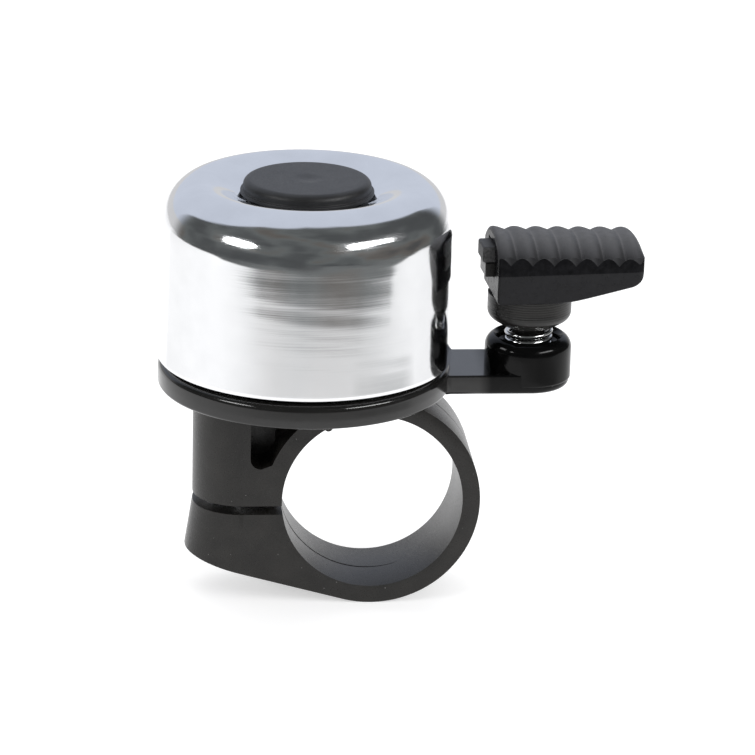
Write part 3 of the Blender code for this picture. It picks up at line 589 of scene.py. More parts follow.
def ripple(mesh, axis_x, low, high):
    """Move points out by a sum of sin(turns * angle + rise * height + shift), faded above and below."""
    points = read(mesh.vertices, "co").astype(float) / MM
    x, y, z = points[:, 0] - axis_x, points[:, 1], points[:, 2]
    angle = np.arctan2(y, x)
    waves = sum(np.sin(turns * angle + rise * z + shift) / (1 + k * 0.3)
                for k, (turns, rise, shift) in enumerate(WAVES))
    fade = np.clip((z - low) / WAVE_FADE, 0, 1) * np.clip((high - z) / WAVE_FADE, 0, 1)
    grow = 1 + WAVE_HEIGHT * waves * fade / np.hypot(x, y)
    points[:, 0], points[:, 1] = axis_x + x * grow, y * grow
    mesh.vertices.foreach_set("co", (points * MM).astype(np.float32).ravel())
    mesh.update()


ripple(dome.data, DOME_X, edge, crest)
shade(dome)
stand_for(dome, aluminium, "frame", "dome")

# %% [markdown]
# ## Cap
# A black cap closes the well and hides the screw. It has a thin flange on the metal, a rounded body and
# a shallow dimple left by its gate. It could be sculpted from a cylinder, but as a turned profile its
# edges get their own radii, and a cosine describes the dimple.

# %% Cap
CAP_BODY, CAP_DRAFT = 7.8, 0.05
CAP_FLANGE, CAP_LIFT = 0.4, 0.05
CAP_WALL, SKIRT_GAP = 0.9, 0.3
DIMPLE_RADIUS, DIMPLE_DEPTH = 2.2, 0.16
cap_top = cap_high[2]
cap_seat = dish_floor + CAP_LIFT
flange_radius = (cap_high[0] - cap_low[0]) / 2
skirt = WELL_RADIUS - SKIRT_GAP
across_dimple = np.linspace(0.0, DIMPLE_RADIUS, 14)
sink = DIMPLE_DEPTH * 0.5 * (1 + np.cos(np.pi * across_dimple / DIMPLE_RADIUS))
dimple = np.stack([across_dimple, cap_top - sink], -1)
outside = [[CAP_BODY, cap_top], [CAP_BODY - CAP_DRAFT, cap_seat + CAP_FLANGE],
           [flange_radius, cap_seat + CAP_FLANGE], [flange_radius, cap_seat]]
inside = [[skirt, cap_seat], [skirt, cap_low[2]], [skirt - CAP_WALL, cap_low[2]],
          [skirt - CAP_WALL, cap_top - CAP_WALL], [0.0, cap_top - CAP_WALL]]
corners = np.concatenate([dimple, outside, inside])
radii = np.zeros(len(corners))
radii[len(dimple):len(dimple) + 4] = [0.85, 0.12, 0.12, 0.05]
cap = turned("cap_moulding", densify(fillet(corners, radii, 8), 0.5), DOME_X, 192)
shade(cap)
stand_for(cap, cap_black, "frame", "dome_cap")

# %% [markdown]
# ## Base
# Disc, arm and boss are one glossy moulding. Each by itself is simple: the disc and the boss are turned
# profiles, and the arm is a plan outline stacked in levels that are drawn in at the edges, which rounds
# them. One grid for all three would need awkward seams, so Booleans join them, and a turned cutter
# opens the boss for the spring.


# %% Stacked outlines
def stacked(name, outline, levels):
    """A convex plan outline stacked at (inset, height) levels: each ring moves in along its normals."""
    tangent = np.roll(outline, -1, 0) - np.roll(outline, 1, 0)
    normal = np.stack([tangent[:, 1], -tangent[:, 0]], -1)
    normal /= np.linalg.norm(normal, axis=1, keepdims=True)
    inset, height = np.array(levels).T
    plan = outline[None] - inset[:, None, None] * normal[None]
    grid = np.concatenate([plan, np.broadcast_to(height[:, None, None], plan.shape[:2] + (1,))], -1)
    return surface(name, grid, wrap_columns=True, ends=True)


def edge_levels(bottom, top, bottom_round, top_round, steps=6):
    """Levels of a block whose lower and upper edges are quarter circles."""
    t = np.radians(np.linspace(0, 90, steps + 1))
    low = np.stack([bottom_round * (1 - np.sin(t)), bottom + bottom_round * (1 - np.cos(t))], -1)
    high = np.stack([top_round * (1 - np.cos(t)), top - top_round * (1 - np.sin(t))], -1)
    return np.concatenate([low, high])


# %% Disc, arm and boss
DISC_BELOW_DOME, DISC_LIFT = 0.1, 0.25
RIM_WIDTH, RIM_HEIGHT, PLATE, POST_RADIUS = 2.0, 3.1, 1.6, 5.0
ARM_HALF, ARM_HEIGHT, ARM_OVERLAP = 5.15, 2.55, 1.2
ARM_BOTTOM_ROUND, ARM_TOP_ROUND = 0.75, 0.22
BOSS_RADIUS, BOSS_HEIGHT, BOSS_ROUND, BOSS_FOOT = 5.33, 6.2, 1.7, 0.9
arm_bottom = base_low[2]
disc_bottom = arm_bottom + DISC_LIFT
disc_radius = dome_radius - DISC_BELOW_DOME
rim_inside = disc_radius - RIM_WIDTH
rim_top, plate_top, post_top = disc_bottom + RIM_HEIGHT, disc_bottom + PLATE, base_high[2]
corners = [[0, post_top], [POST_RADIUS, post_top], [POST_RADIUS, plate_top], [rim_inside, plate_top],
           [rim_inside, rim_top], [disc_radius, rim_top], [disc_radius, disc_bottom], [0, disc_bottom]]
disc_profile = fillet(corners, [0, 0.5, 0.6, 0.3, 0.3, 0.95, 0.45, 0], 8)
base = turned("base_moulding", densify(disc_profile, 1.5), DOME_X)

arm_root = DOME_X + disc_radius - ARM_OVERLAP
arm_end = arc(HAMMER_X, 0.0, ARM_HALF, -90, 90, 48)
outline = np.concatenate([arm_end, [[arm_root, ARM_HALF], [arm_root, -ARM_HALF]]])
levels = edge_levels(arm_bottom, arm_bottom + ARM_HEIGHT, ARM_BOTTOM_ROUND, ARM_TOP_ROUND)
combine(base, stacked("arm", densify(outline, 1.0), levels), "UNION")

boss_top, boss_foot = disc_bottom + BOSS_HEIGHT, arm_bottom + BOSS_FOOT
corners = [[0, boss_top], [BOSS_RADIUS, boss_top], [BOSS_RADIUS, boss_foot], [0, boss_foot]]
boss_profile = fillet(corners, [0, BOSS_ROUND, 0.3, 0], 12)
combine(base, turned("boss", densify(boss_profile, 0.8), HAMMER_X, 192), "UNION")
print("disc from", round(disc_bottom, 2), "to", round(rim_top, 2), "boss top", round(boss_top, 2))


# %% Holes in the base
def drill(target, name, radius, top, bottom, axis_x, segments):
    """Cut a plain round hole down a vertical axis."""
    corners = np.array([[0, top], [radius, top], [radius, bottom], [0, bottom]])
    combine(target, turned(name, corners, axis_x, segments), "DIFFERENCE")


BORE, MOUTH, LIP, STUD, STUD_HEIGHT = 3.3, 3.7, 0.7, 2.0, 1.9
ABOVE = 4.0
SOCKET_RADIUS, POST_HOLE = 3.9, 1.75
bore_floor, mouth_floor = disc_bottom + 1.1, boss_top - 1.2
corners = [[0, boss_top + ABOVE], [MOUTH + LIP + ABOVE, boss_top + ABOVE], [MOUTH, boss_top - LIP],
           [MOUTH, mouth_floor], [BORE, mouth_floor - 0.3], [BORE, bore_floor], [STUD, bore_floor],
           [STUD, bore_floor + STUD_HEIGHT], [0, bore_floor + STUD_HEIGHT]]
bore_profile = fillet(corners, [0, 0, 0.9, 0, 0, 0.2, 0.1, 0.2, 0], 6)
combine(base, turned("bore", bore_profile, HAMMER_X, 128), "DIFFERENCE")
spigot_top = bracket_high[2]
drill(base, "socket", SOCKET_RADIUS, spigot_top + 0.3, disc_bottom - 2, DOME_X, 96)
drill(base, "post_hole", POST_HOLE, post_top + 2, spigot_top - 1, DOME_X, 64)
bake(base, 30.0)
stand_for(base, gloss_black, "frame", "base_plate")

# %% [markdown]
# ## Clamp
# Two matt mouldings grip the handlebar. Both are outlines extruded along the bar, cut to a rounded plan
# and bored. They could be made as two finished halves, but a bevel would then mark the seam between
# them. So all the edges are bevelled first, and only then are the halves parted under the disc, and the
# band reads as one piece from the disc round to the split.


# %% Prisms
def prism(name, outline, half_width, middle=0.0):
    """An outline of (x, z) extruded along y to both sides of the middle."""
    rings = [np.insert(outline, 1, y, axis=1) for y in (middle - half_width, middle + half_width)]
    return surface(name, np.array(rings), wrap_columns=True, ends=True)


def plan_block(name, left, corner, flare=0.0, top=0.0, tall=25.0, long=30.0):
    """The clamp from above: a rounded left end that leans out by flare times the depth below top."""
    inward = BAND_HALF - corner
    curve = np.concatenate([arc(left + corner, inward, corner, 90, 180, 20),
                            arc(left + corner, -inward, corner, 180, 270, 20)])
    outline = np.concatenate([[[long, -BAND_HALF], [long, BAND_HALF]], curve])
    lean = np.clip((left + corner - outline[:, 0]) / corner, 0, 1) ** 0.5
    rings = [np.column_stack([outline[:, 0] - flare * (top - z) * lean, outline[:, 1], 0 * lean + z])
             for z in (-tall, tall)]
    return surface(name, np.array(rings), wrap_columns=True, ends=True)


def on_circle(radius, degrees):
    """A point of the circle about the bore's axis."""
    return radius * np.array([np.cos(np.radians(degrees)), np.sin(np.radians(degrees))])


# %% Clamp sizes
BAR_RADIUS, BAND = 11.1, 2.15
SPLIT_TOP, SPLIT_BOTTOM = -0.5, -1.6
BLOCK_CORNER, BLANK_HALF = 6.0, 9.0
CLAMP_BEVEL = 0.22
band_radius = BAR_RADIUS + BAND
BAND_HALF = -bracket_low[1]
block_left = bracket_low[0]
bore_outline = arc(0, 0, BAR_RADIUS, 0, 359, 359)
print("band radius", round(band_radius, 2), "half width", round(BAND_HALF, 2))

# %% [markdown]
# The upper half is a block with a web in front of the bore. Pockets to both sides of the web save
# plastic and keep the wall even, as moulders like it. The pocket is one more prism, whose outline
# follows the band's circle, and it is cut once from the front and once from the back. A spigot centres
# the disc, and a small rib inside the bore bites into the bar.

# %% Clamp block
POCKET_LEFT, POCKET_BOTTOM, POCKET_CORNER, POCKET_DEEP = 6.8, 4.3, 1.3, 4.0
WEB = 2.0
SPIGOT_RADIUS, INSERT_HOLE = 3.6, 2.1
RIB_ANGLE, RIB_RADIUS = 120.0, 0.55
inside = 0.5 * BAR_RADIUS
outline = np.concatenate([[[block_left - 1, SPLIT_TOP], [-inside, SPLIT_TOP]],
                          [[inside * np.cos(0.6), inside * np.sin(0.6)]],
                          arc(0, 0, band_radius, 40, 90, 40), [[block_left - 1, band_radius]]])
block = prism("clamp_block", outline, BLANK_HALF)
combine(block, plan_block("plan", block_left, BLOCK_CORNER), "INTERSECT")

wall = block_left + POCKET_LEFT
meets = POCKET_BOTTOM + 0.4 * POCKET_CORNER
band_angle = np.degrees(np.arctan2(meets, -np.sqrt(band_radius ** 2 - meets ** 2)))
pocket = np.concatenate([[[wall, 2 * band_radius]],
                         arc(wall + POCKET_CORNER, POCKET_BOTTOM + POCKET_CORNER, POCKET_CORNER, 180, 270, 12),
                         arc(0, 0, band_radius, band_angle, 92, 60),
                         [[0, band_radius + 0.3], [0, 2 * band_radius]]])
for name, face in (("front", -1), ("back", 1)):
    cutter = prism("pocket_" + name, pocket, POCKET_DEEP, face * (WEB / 2 + POCKET_DEEP))
    combine(block, cutter, "DIFFERENCE")

spigot = np.array([[0, 4.0], [SPIGOT_RADIUS, 4.0], [SPIGOT_RADIUS, spigot_top], [0, spigot_top]])
combine(block, turned("spigot", spigot, DOME_X, 96), "UNION")
combine(block, prism("bore", bore_outline, BLANK_HALF), "DIFFERENCE")
rib = arc(*on_circle(BAR_RADIUS, RIB_ANGLE), RIB_RADIUS, 0, 345, 23)
combine(block, prism("crush_rib", rib, BAND_HALF - 0.3), "UNION")
drill(block, "insert_hole", INSERT_HOLE, SPLIT_TOP + 9.5, -4.0, SCREW_X, 64)
drill(block, "centre_hole", INSERT_HOLE, spigot_top + 2, insert_bottom - 0.3, DOME_X, 64)
round_edges(block, CLAMP_BEVEL)
print("pocket starts at", round(wall, 2), "and meets the band at", round(band_angle, 1), "degrees")

# %% [markdown]
# The halves part on a radial line under the disc. What lies past that line is cut from the block, and
# what lies before it is cut from the band, so both end on the same plane.

# %% Seam
SEAM = np.radians(80.0)
along_seam = np.array([np.cos(SEAM), np.sin(SEAM)])
past_seam = np.array([np.sin(SEAM), -np.cos(SEAM)])


def beside_seam(name, depth, inner=-2, outer=20):
    """A block on one side of the seam: past it for a positive depth, before it for a negative one."""
    corners = np.array([inner * along_seam, outer * along_seam, outer * along_seam + depth * past_seam,
                        inner * along_seam + depth * past_seam])
    return prism(name, corners, 12.0)


combine(block, beside_seam("past_seam", 30), "DIFFERENCE")
bake(block)
stand_for(block, matt_black, "frame", "clamp_bracket")

# %% [markdown]
# The lower half is the band with the lug that the screw pulls up. The band bends at the right when the
# clamp is closed. It could be parted there into two rigid pieces, but the real one is one piece, so it
# is kept as one piece here, left in place and attached to no body. The tool's parting line shows as a
# fine tapering groove at mid-width: a thin blade of four corners, carried along the wall and fading out,
# cuts it.


# %% Clamp band
def groove_blade(name, start, end, radius, half_width, depth, steps=60):
    """A blade along the wall, of four corners, that shrinks with the root of its share from start to end."""
    share = np.linspace(0, 1, steps)
    angle = np.radians(start + share * (end - start))
    fade = np.sqrt(1 - share * 0.995)
    section = np.array([[1, 0], [0, 1], [-1, 0], [0, -1]])
    ring_radius = radius + section[:, 0] * depth * fade[:, None]
    y = section[:, 1] * half_width * fade[:, None]
    grid = np.stack([ring_radius * np.cos(angle)[:, None], y, ring_radius * np.sin(angle)[:, None]], -1)
    return surface(name, grid, wrap_columns=True, ends=True)


LUG_SLOPE, LUG_FLARE, LUG_SEAT, LUG_OVER = 15.1, 0.15, 3.3, 6.0
SHANK_HOLE, HEAD_HOLE = 1.9, 3.3
tangent = -90.0 - LUG_SLOPE
foot = on_circle(band_radius, tangent)
far_left = block_left - LUG_OVER
far_low = foot[1] + (foot[0] - far_left) * np.tan(np.radians(LUG_SLOPE))
outline = np.concatenate([[[far_left, SPLIT_BOTTOM], [far_left, far_low]],
                          arc(0, 0, band_radius, tangent, 95, 190),
                          [[inside * np.cos(1.66), inside * np.sin(1.66)], [-inside, SPLIT_BOTTOM]]])
band = prism("clamp_band", outline, BLANK_HALF)
combine(band, plan_block("plan", block_left, BLOCK_CORNER, LUG_FLARE, SPLIT_BOTTOM), "INTERSECT")
combine(band, prism("bore", bore_outline, BLANK_HALF), "DIFFERENCE")
seat = SPLIT_BOTTOM - LUG_SEAT
hole = [[0, 8.0], [SHANK_HOLE, 8.0], [SHANK_HOLE, seat], [HEAD_HOLE, seat], [HEAD_HOLE, -20.0], [0, -20.0]]
combine(band, turned("counterbore", hole, SCREW_X, 96), "DIFFERENCE")
round_edges(band, CLAMP_BEVEL)
combine(band, groove_blade("groove_inside", -171.7, -70.0, BAR_RADIUS, 0.30, 0.30), "DIFFERENCE")
combine(band, groove_blade("groove_outside", 88.0, -10.0, band_radius, 0.16, 0.16), "DIFFERENCE")
combine(band, beside_seam("before_seam", -12), "DIFFERENCE")
bake(band)
band.modifiers.clear()
band.data.materials.append(matt_black)
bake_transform(band)
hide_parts("clamp_strap")

# %% [markdown]
# ## Spring
# A closely wound steel spring is the hammer's only bearing. A Screw modifier would make one from a
# circle, but a formula keeps the wire round and gives the exact place of each end. The wire is a circle
# carried along a helix, in two lengths that meet at the joint's centre.

# %% Spring
WIRE = 0.35
SPRING_TURNS = 6.2
SPRING_RISE = 0.45
wire_bottom, wire_top = spring_low[2] + WIRE, spring_high[2] + SPRING_RISE - WIRE
spring_radius = (spring_high[0] - spring_low[0]) / 2 - WIRE


def wire(name, start, end):
    """Tube on a helix: c(a) = (r cos a, r sin a, z0 + k a), with a circle in the plane across it."""
    rise = (wire_top - wire_bottom) / (SPRING_TURNS * TURN)
    steps = int((end - start) / (rise * TURN) * 72)
    a = np.linspace((start - wire_bottom) / rise, (end - wire_bottom) / rise, steps)[:, None]
    radial = np.concatenate([np.cos(a), np.sin(a), 0 * a], 1)
    centre = spring_radius * radial + np.concatenate([0 * a + HAMMER_X, 0 * a, wire_bottom + rise * a], 1)
    forward = np.concatenate([-spring_radius * np.sin(a), spring_radius * np.cos(a), rise + 0 * a], 1)
    forward /= np.linalg.norm(forward, axis=1, keepdims=True)
    aside = np.cross(forward, radial)
    t = (np.arange(20) * TURN / 20)[None, :, None]
    grid = centre[:, None] + WIRE * (np.cos(t) * radial[:, None] + np.sin(t) * aside[:, None])
    made = surface(name, grid, wrap_columns=True, ends=True)
    made.data.materials.append(wire_steel)
    made.data.shade_smooth()
    print(f"{name}: {len(made.data.polygons)} faces")
    return made


lower_wire = wire("spring_lower", wire_bottom, PIVOT_Z)
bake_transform(lower_wire)
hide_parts("hammer_spring")
upper_wire = wire("spring_upper", PIVOT_Z, wire_top)
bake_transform(upper_wire)

# %% [markdown]
# ## Hammer
# The hammer is a turned hub, a rubber pad pulled over its core, and a striker in the pad's toe. The pad
# leans up towards its tip. The pieces share one frame, in which x runs along the lever from the hub's
# axis, and the whole is turned a few degrees about that axis. Working in that frame keeps every formula
# simple, and one function moves the points to their place at the end.

# %% Lever frame
LEVER_TWIST = np.radians(3.5)
PAD_TOE, PAD_LENGTH, PAD_HEIGHT = 4.9, 18.0, 7.7
PAD_SAG, PAD_BEND, PAD_SLOPE = 0.45, 4.0, 0.245


def to_lever(points):
    """Turn points of the lever's frame about the hub's axis, and move them there."""
    x, y = points[..., 0], points[..., 1]
    c, s = np.cos(LEVER_TWIST), np.sin(LEVER_TWIST)
    return np.stack([HAMMER_X + c * x - s * y, s * x + c * y, points[..., 2]], -1)


def underside(x):
    """Height of the pad's underside: level over the hub, then a slope, joined by a hyperbola."""
    past = x - PAD_BEND
    return pad_bottom - PAD_SAG + 0.5 * PAD_SLOPE * (past + np.sqrt(past ** 2 + 2.0))


def lever_block(name, corners, half_width):
    """Corners (x, z) in the lever's frame, extruded across it."""
    rings = np.array([np.insert(np.array(corners), 1, y, axis=1) for y in (-half_width, half_width)])
    return surface(name, to_lever(rings), wrap_columns=True, ends=True)


def over_pad(name, left, right, half_width, lift, top):
    """A lever block whose lower side keeps a height above the pad's underside."""
    low_left, low_right = underside(left) + lift, underside(right) + lift
    return lever_block(name, [[left, low_left], [right, low_right], [right, top], [left, top]], half_width)


print("pad from", round(HAMMER_X - PAD_TOE, 2), "to", round(HAMMER_X - PAD_TOE + PAD_LENGTH, 2))

# %% [markdown]
# The hub is a turned cup with fine tool marks, tapered down to the spring. Its top is cut to the slope
# of the pad's underside, so that no gap shows between the two. The neck and the core inside the pad, and
# the nose that holds the striker, are plain blocks, because the rubber hides most of them.

# %% Hub
HUB_RADIUS, HUB_TAPER, HUB_STUD = 5.14, 1.15, 1.2
STUD_RADIUS, SHOULDER_RADIUS = 2.0, 3.35
TOOL_MARK = 0.007
PAD_WALL = 1.0
hub_foot = hub_bottom + HUB_STUD + SPRING_RISE
hub_top = underside(14.0)
corners = [[0, hub_top], [HUB_RADIUS, hub_top], [HUB_RADIUS, hub_foot + HUB_TAPER],
           [SHOULDER_RADIUS, hub_foot], [STUD_RADIUS, hub_foot], [STUD_RADIUS, hub_bottom], [0, hub_bottom]]
profile = densify(fillet(corners, [0, 0, 1.3, 0.2, 0.1, 0.2, 0], 10), 0.05)
marks = np.sin(profile[:, 1] * 21.0) + 0.7 * np.sin(profile[:, 1] * 47.0 + 1.0)
profile[:, 0] += TOOL_MARK * marks * (profile[:, 0] > HUB_RADIUS - 0.02)
hub = turned("hub", profile, HAMMER_X, 128)
combine(hub, over_pad("above", -9.0, 2.5, 9.0, 0.02, hub_top + 3), "DIFFERENCE")
combine(hub, over_pad("above_slope", 2.4, 9.0, 9.0, 0.02, hub_top + 3), "DIFFERENCE")
combine(hub, over_pad("neck", -2.0, 2.0, 3.4, -0.8, striker_low[2] - 0.6), "UNION")
core_start, core_end = PAD_WALL + 0.3 - PAD_TOE, PAD_LENGTH - PAD_TOE - 2.3
combine(hub, over_pad("core", core_start, core_end, 3.5, 1.3, striker_low[2] - 0.3), "UNION")
nose = over_pad("nose", 0.35 - PAD_TOE - 1.4, 2.0 - PAD_TOE, 1.9, 2.6, striker_low[2] - 0.05)
round_edges(nose, 0.15)
combine(hub, nose, "UNION")
bake(hub, 32.0)
stand_for(hub, hub_black, "hammer", "hammer_hub")

# %% [markdown]
# The pad is ribbed so that the thumb doesn't slip. Ribs could be modelled one by one, but here the whole
# pad is one stack of cross sections along the lever. Its crown is a flattened arch, and seven ribs
# scallop it: `valley = 1 - |sin|^p`, which is shallow on top and deeper and sharper towards the sides.
# The upright side cuts the scallops, so the edge between crown and side runs up and down in a zigzag.

# %% Thumb pad
PAD_HALF, PAD_FOOT_HALF, PAD_CREASE, CREASE_RISE = 5.3, 5.12, 3.1, 0.25
PAD_FALL, PAD_ARCH, ARCH_POWER = 0.5, 2.05, 2.4
RIBS, RIB_DEPTH, RIB_LEAN, RIB_START = 7, 0.8, 0.55, 0.25
TIP_LENGTH, TIP_DROP, TIP_LIFT, TIP_NARROW = 1.45, 1.6, 1.0, 0.6
TOE_ROUND = 0.4
RIB_PITCH = PAD_LENGTH / (RIBS - RIB_START)


def rib_phase(past_toe, y_share):
    """Ribs counted along the pad, leaning from side to side; a valley lies at each whole number."""
    return (past_toe + RIB_LEAN * y_share) / RIB_PITCH + RIB_START


def pad_grid():
    """Sections along x by points: foot, flank, side, edge, and crown z = top - arch |y/half|^p - valley."""
    start, end = -PAD_TOE, PAD_LENGTH - PAD_TOE
    t = np.radians(np.linspace(0, 90, 9))
    x = np.concatenate([start + TOE_ROUND * (1 - np.cos(t)),
                        np.linspace(start + TOE_ROUND, end - TIP_LENGTH, 300)[1:-1],
                        end - TIP_LENGTH * (1 - np.sin(t))])
    toe = np.maximum(0, TOE_ROUND ** 2 - (start + TOE_ROUND - x) ** 2)
    inset = np.where(x < start + TOE_ROUND, TOE_ROUND - np.sqrt(toe), 0)
    past = np.clip((x - end + TIP_LENGTH) / TIP_LENGTH, 0, 1)
    tip = 1 - np.sqrt(1 - np.minimum(past, 0.9999) ** 2)
    share = (x - start) / PAD_LENGTH
    low = underside(x) + TIP_LIFT * tip + inset
    top = pad_bottom + PAD_HEIGHT - PAD_FALL * share - TIP_DROP * tip - inset
    half, foot_half = PAD_HALF - TIP_NARROW * tip - inset, PAD_FOOT_HALF - TIP_NARROW * tip - inset
    crease = pad_bottom + PAD_CREASE + CREASE_RISE * share
    drop = PAD_ARCH - TIP_DROP * tip

    def crown(y_share):
        """Height of the crown: the arch, less a valley that is soft on top, deep and sharp at the side."""
        side = np.abs(y_share)
        valley = 1 - np.abs(np.sin(np.pi * rib_phase(x - start, y_share))) ** (1.5 - 0.5 * side)
        return top - drop * side ** ARCH_POWER - RIB_DEPTH * (0.36 + 0.9 * side ** 2) * valley * (1 - tip)

    rows = [(foot_half - 0.15, low), (foot_half, low + 0.12)]
    rows += [(half - 0.02, crease - 0.1), (half, crease + 0.1)]
    side_top = crown(1.0) - 0.05
    rows += [(half, crease + 0.1 + (side_top - crease - 0.1) * s) for s in (0.33, 0.66, 1.0)]
    rows += [(half * 0.997, crown(1.0) + 0.01)]
    arch = [(half * s, crown(s)) for s in np.linspace(0.985, -0.985, 75)]
    far_side = [(-y, z) for y, z in rows[::-1]]
    return np.stack([np.stack([x + 0 * z, y + 0 * z, z], -1) for y, z in rows + arch + far_side], 1)


pad = surface("thumb_pad_rubber", to_lever(pad_grid()), wrap_columns=True, ends=True)
room_start, room_end = PAD_WALL - PAD_TOE, PAD_LENGTH - PAD_TOE - 2.0
combine(pad, over_pad("core_room", room_start, room_end, 3.8, PAD_WALL, striker_low[2]), "DIFFERENCE")
combine(pad, over_pad("neck_room", -2.3, 2.3, 3.7, -1.0, striker_low[2] - 0.5), "DIFFERENCE")
window_start, window_end = -PAD_TOE - 2, striker_high[0] - HAMMER_X
combine(pad, over_pad("window", window_start, window_end, 2.35, 2.5, striker_high[2] + 0.3), "DIFFERENCE")
bake(pad, 30.0)

# %% [markdown]
# The finish of the pad needs to know where it is worn and where light is painted on it. Each face gets
# one number, worked out for all faces at once from its place and the way it looks up or out. The crown is
# palest on top, partly wear and partly painted light from above, with a painted highlight along each
# valley and painted shade in the lee before it. The flank under the crease is a little grey, and the
# upright side between them is fresh and black.

# %% Wear and painted light of the pad
PALE_DEPTH, FACES_UP = 2.6, 0.06
CROWN_BASE, CROWN_GAIN, VALLEY_PAINTED_HIGHLIGHT, LEE_PAINTED_SHADE = 0.5, 2.1, 1.1, 1.1
FLANK_GREY = 0.30
normal = read(pad.data.polygons, "normal")
middle = read(pad.data.polygons, "center") / MM
share = (middle[:, 0] - HAMMER_X + PAD_TOE) / PAD_LENGTH
height = np.clip((middle[:, 2] - pad_bottom - PAD_HEIGHT + PALE_DEPTH + 0.5 * share) / PALE_DEPTH, 0, 1)
from_hub = middle[:, 0] - HAMMER_X
y_share = (middle[:, 1] * np.cos(LEVER_TWIST) - from_hub * np.sin(LEVER_TWIST)) / PAD_HALF
phase = rib_phase(share * PAD_LENGTH, y_share)
# Painted highlight along each valley and painted shade in the lee of each rib; the crown also grows paler with
# height, partly wear and partly painted light from above.
valley = (1 - np.abs(np.sin(np.pi * phase))) ** 5
lee_shade = np.clip((phase % 1 - 0.5) / 0.42, 0, 1) ** 2 * (1 - valley)
crown = CROWN_BASE + CROWN_GAIN * height
crown += VALLEY_PAINTED_HIGHLIGHT * valley * (0.4 + 0.6 * height) - LEE_PAINTED_SHADE * lee_shade * (0.35 + 0.65 * height)
flank = middle[:, 2] < pad_bottom + PAD_CREASE + CREASE_RISE * share
wear_and_light = np.where(normal[:, 2] > FACES_UP, crown, np.where(flank, FLANK_GREY, 0.0))
pad.data.attributes.new("zone", "FLOAT", "FACE").data.foreach_set("value", wear_and_light.astype(np.float32))
stand_for(pad, pad_black, "hammer", "thumb_pad")
print("wear from", round(float(wear_and_light.min()), 2), "to", round(float(wear_and_light.max()), 2))

# %% [markdown]
# The striker is a small cropped steel bar whose end sticks out of the pad's toe and meets the dome. It
# is a plain block in the lever's frame, and a bevel gives it the soft edges that cropping leaves.

# %% Striker
STRIKER_OUT, STRIKER_END, STRIKER_HALF = 1.4, 3.8, 2.0
bar_start, bar_low, bar_high = -PAD_TOE - STRIKER_OUT, striker_low[2], striker_high[2]
corners = [[bar_start, bar_low], [STRIKER_END, bar_low], [STRIKER_END, bar_high], [bar_start, bar_high]]
bar = lever_block("striker_bar", corners, STRIKER_HALF)
round_edges(bar, 0.28, 4)
bake(bar, 50.0)
stand_for(bar, striker_grey, "hammer", "striker")

# %% [markdown]
# ## Floor and light
# The bell stands just clear of a plain white floor that runs far enough to fill the view. The floor glows
# a little by itself, because it should stay white without lamps so strong that they bleach the bell.

# %% Floor
floor_z = -band_radius - 0.05
sheet = np.array([[[-900.0, -500.0, floor_z], [900.0, -500.0, floor_z]],
                  [[-900.0, 1400.0, floor_z], [900.0, 1400.0, floor_z]]])
floor = surface("floor", sheet)
white, tree, shader = finish("floor_white")
shader.inputs["Base Color"].default_value = (0.66, 0.66, 0.66, 1.0)
shader.inputs["Roughness"].default_value = 0.9
shader.inputs["Emission Color"].default_value = (1.0, 1.0, 1.0, 1.0)
shader.inputs["Emission Strength"].default_value = 0.52
floor.data.materials.append(white)
print("floor at", round(floor_z, 2), "mm")

# %% [markdown]
# A polished dome shows its surroundings rather than itself, so they matter most. A studio stands
# black cards, called flags, round such an object, and the same is done here. One card is a shell in front
# that gives the dark band round the shoulder, and one lies on the floor and shades the side: past the
# lit floor it is the dark room, and nearer the bell it is a painted shadow of the bell on the floor. Both
# are seen only in reflections. An attribute named `cover` fades their edges, as a soft edge looks natural.


# %% Dark surroundings
def dark_finish(name):
    """Nearly black, with dim warm and cool patches like a room's, and clear where the attribute is 0."""
    made, tree, shader = finish(name, specular=0.0)
    colours = tree.nodes.new("ShaderNodeValToRGB")
    stops = [(0.0, (0.05, 0.052, 0.055)), (0.42, (0.085, 0.09, 0.092)), (0.56, (0.14, 0.15, 0.15)),
             (0.66, (0.135, 0.125, 0.115)), (0.76, (0.08, 0.08, 0.08))]
    for place, colour in stops[1:-1]:
        colours.color_ramp.elements.new(place)
    for element, (place, colour) in zip(colours.color_ramp.elements, stops):
        element.position, element.color = place, (*colour, 1.0)
    tree.links.new(noise(tree, 260.0, place_of(tree, (1.0, 1.0, 1.4)), detail=2.0), colours.inputs["Fac"])
    glow = tree.nodes.new("ShaderNodeEmission")
    tree.links.new(colours.outputs["Color"], glow.inputs["Color"])
    clear = tree.nodes.new("ShaderNodeBsdfTransparent")
    mix = tree.nodes.new("ShaderNodeMixShader")
    tree.links.new(stored(tree, "cover"), mix.inputs["Fac"])
    tree.links.new(clear.outputs["BSDF"], mix.inputs[1])
    tree.links.new(glow.outputs["Emission"], mix.inputs[2])
    tree.links.new(mix.outputs["Shader"], tree.nodes["Material Output"].inputs["Surface"])
    return made


def only_mirrored(card, material):
    """Give a card its material and show it in reflections only."""
    card.data.materials.append(material)
    card.visible_camera = card.visible_shadow = card.visible_diffuse = False
    return card


def flag(name, grid, cover):
    """A dark sheet; cover, from 0 to 1 at each point, softens its edge."""
    mesh = grid_mesh(name, grid)
    mesh.attributes.new("cover", "FLOAT", "POINT").data.foreach_set("value", cover.astype(np.float32).ravel())
    return only_mirrored(put(name, mesh), room)


def smooth(value, start, end):
    """0 before start, 1 after end, with an S between them."""
    t = np.clip((value - start) / (end - start), 0, 1)
    return t * t * (3 - 2 * t)


room = dark_finish("flag_dark")
MIDDLE = np.array([DOME_X, 0, 25])
print("dark finish:", room.name)

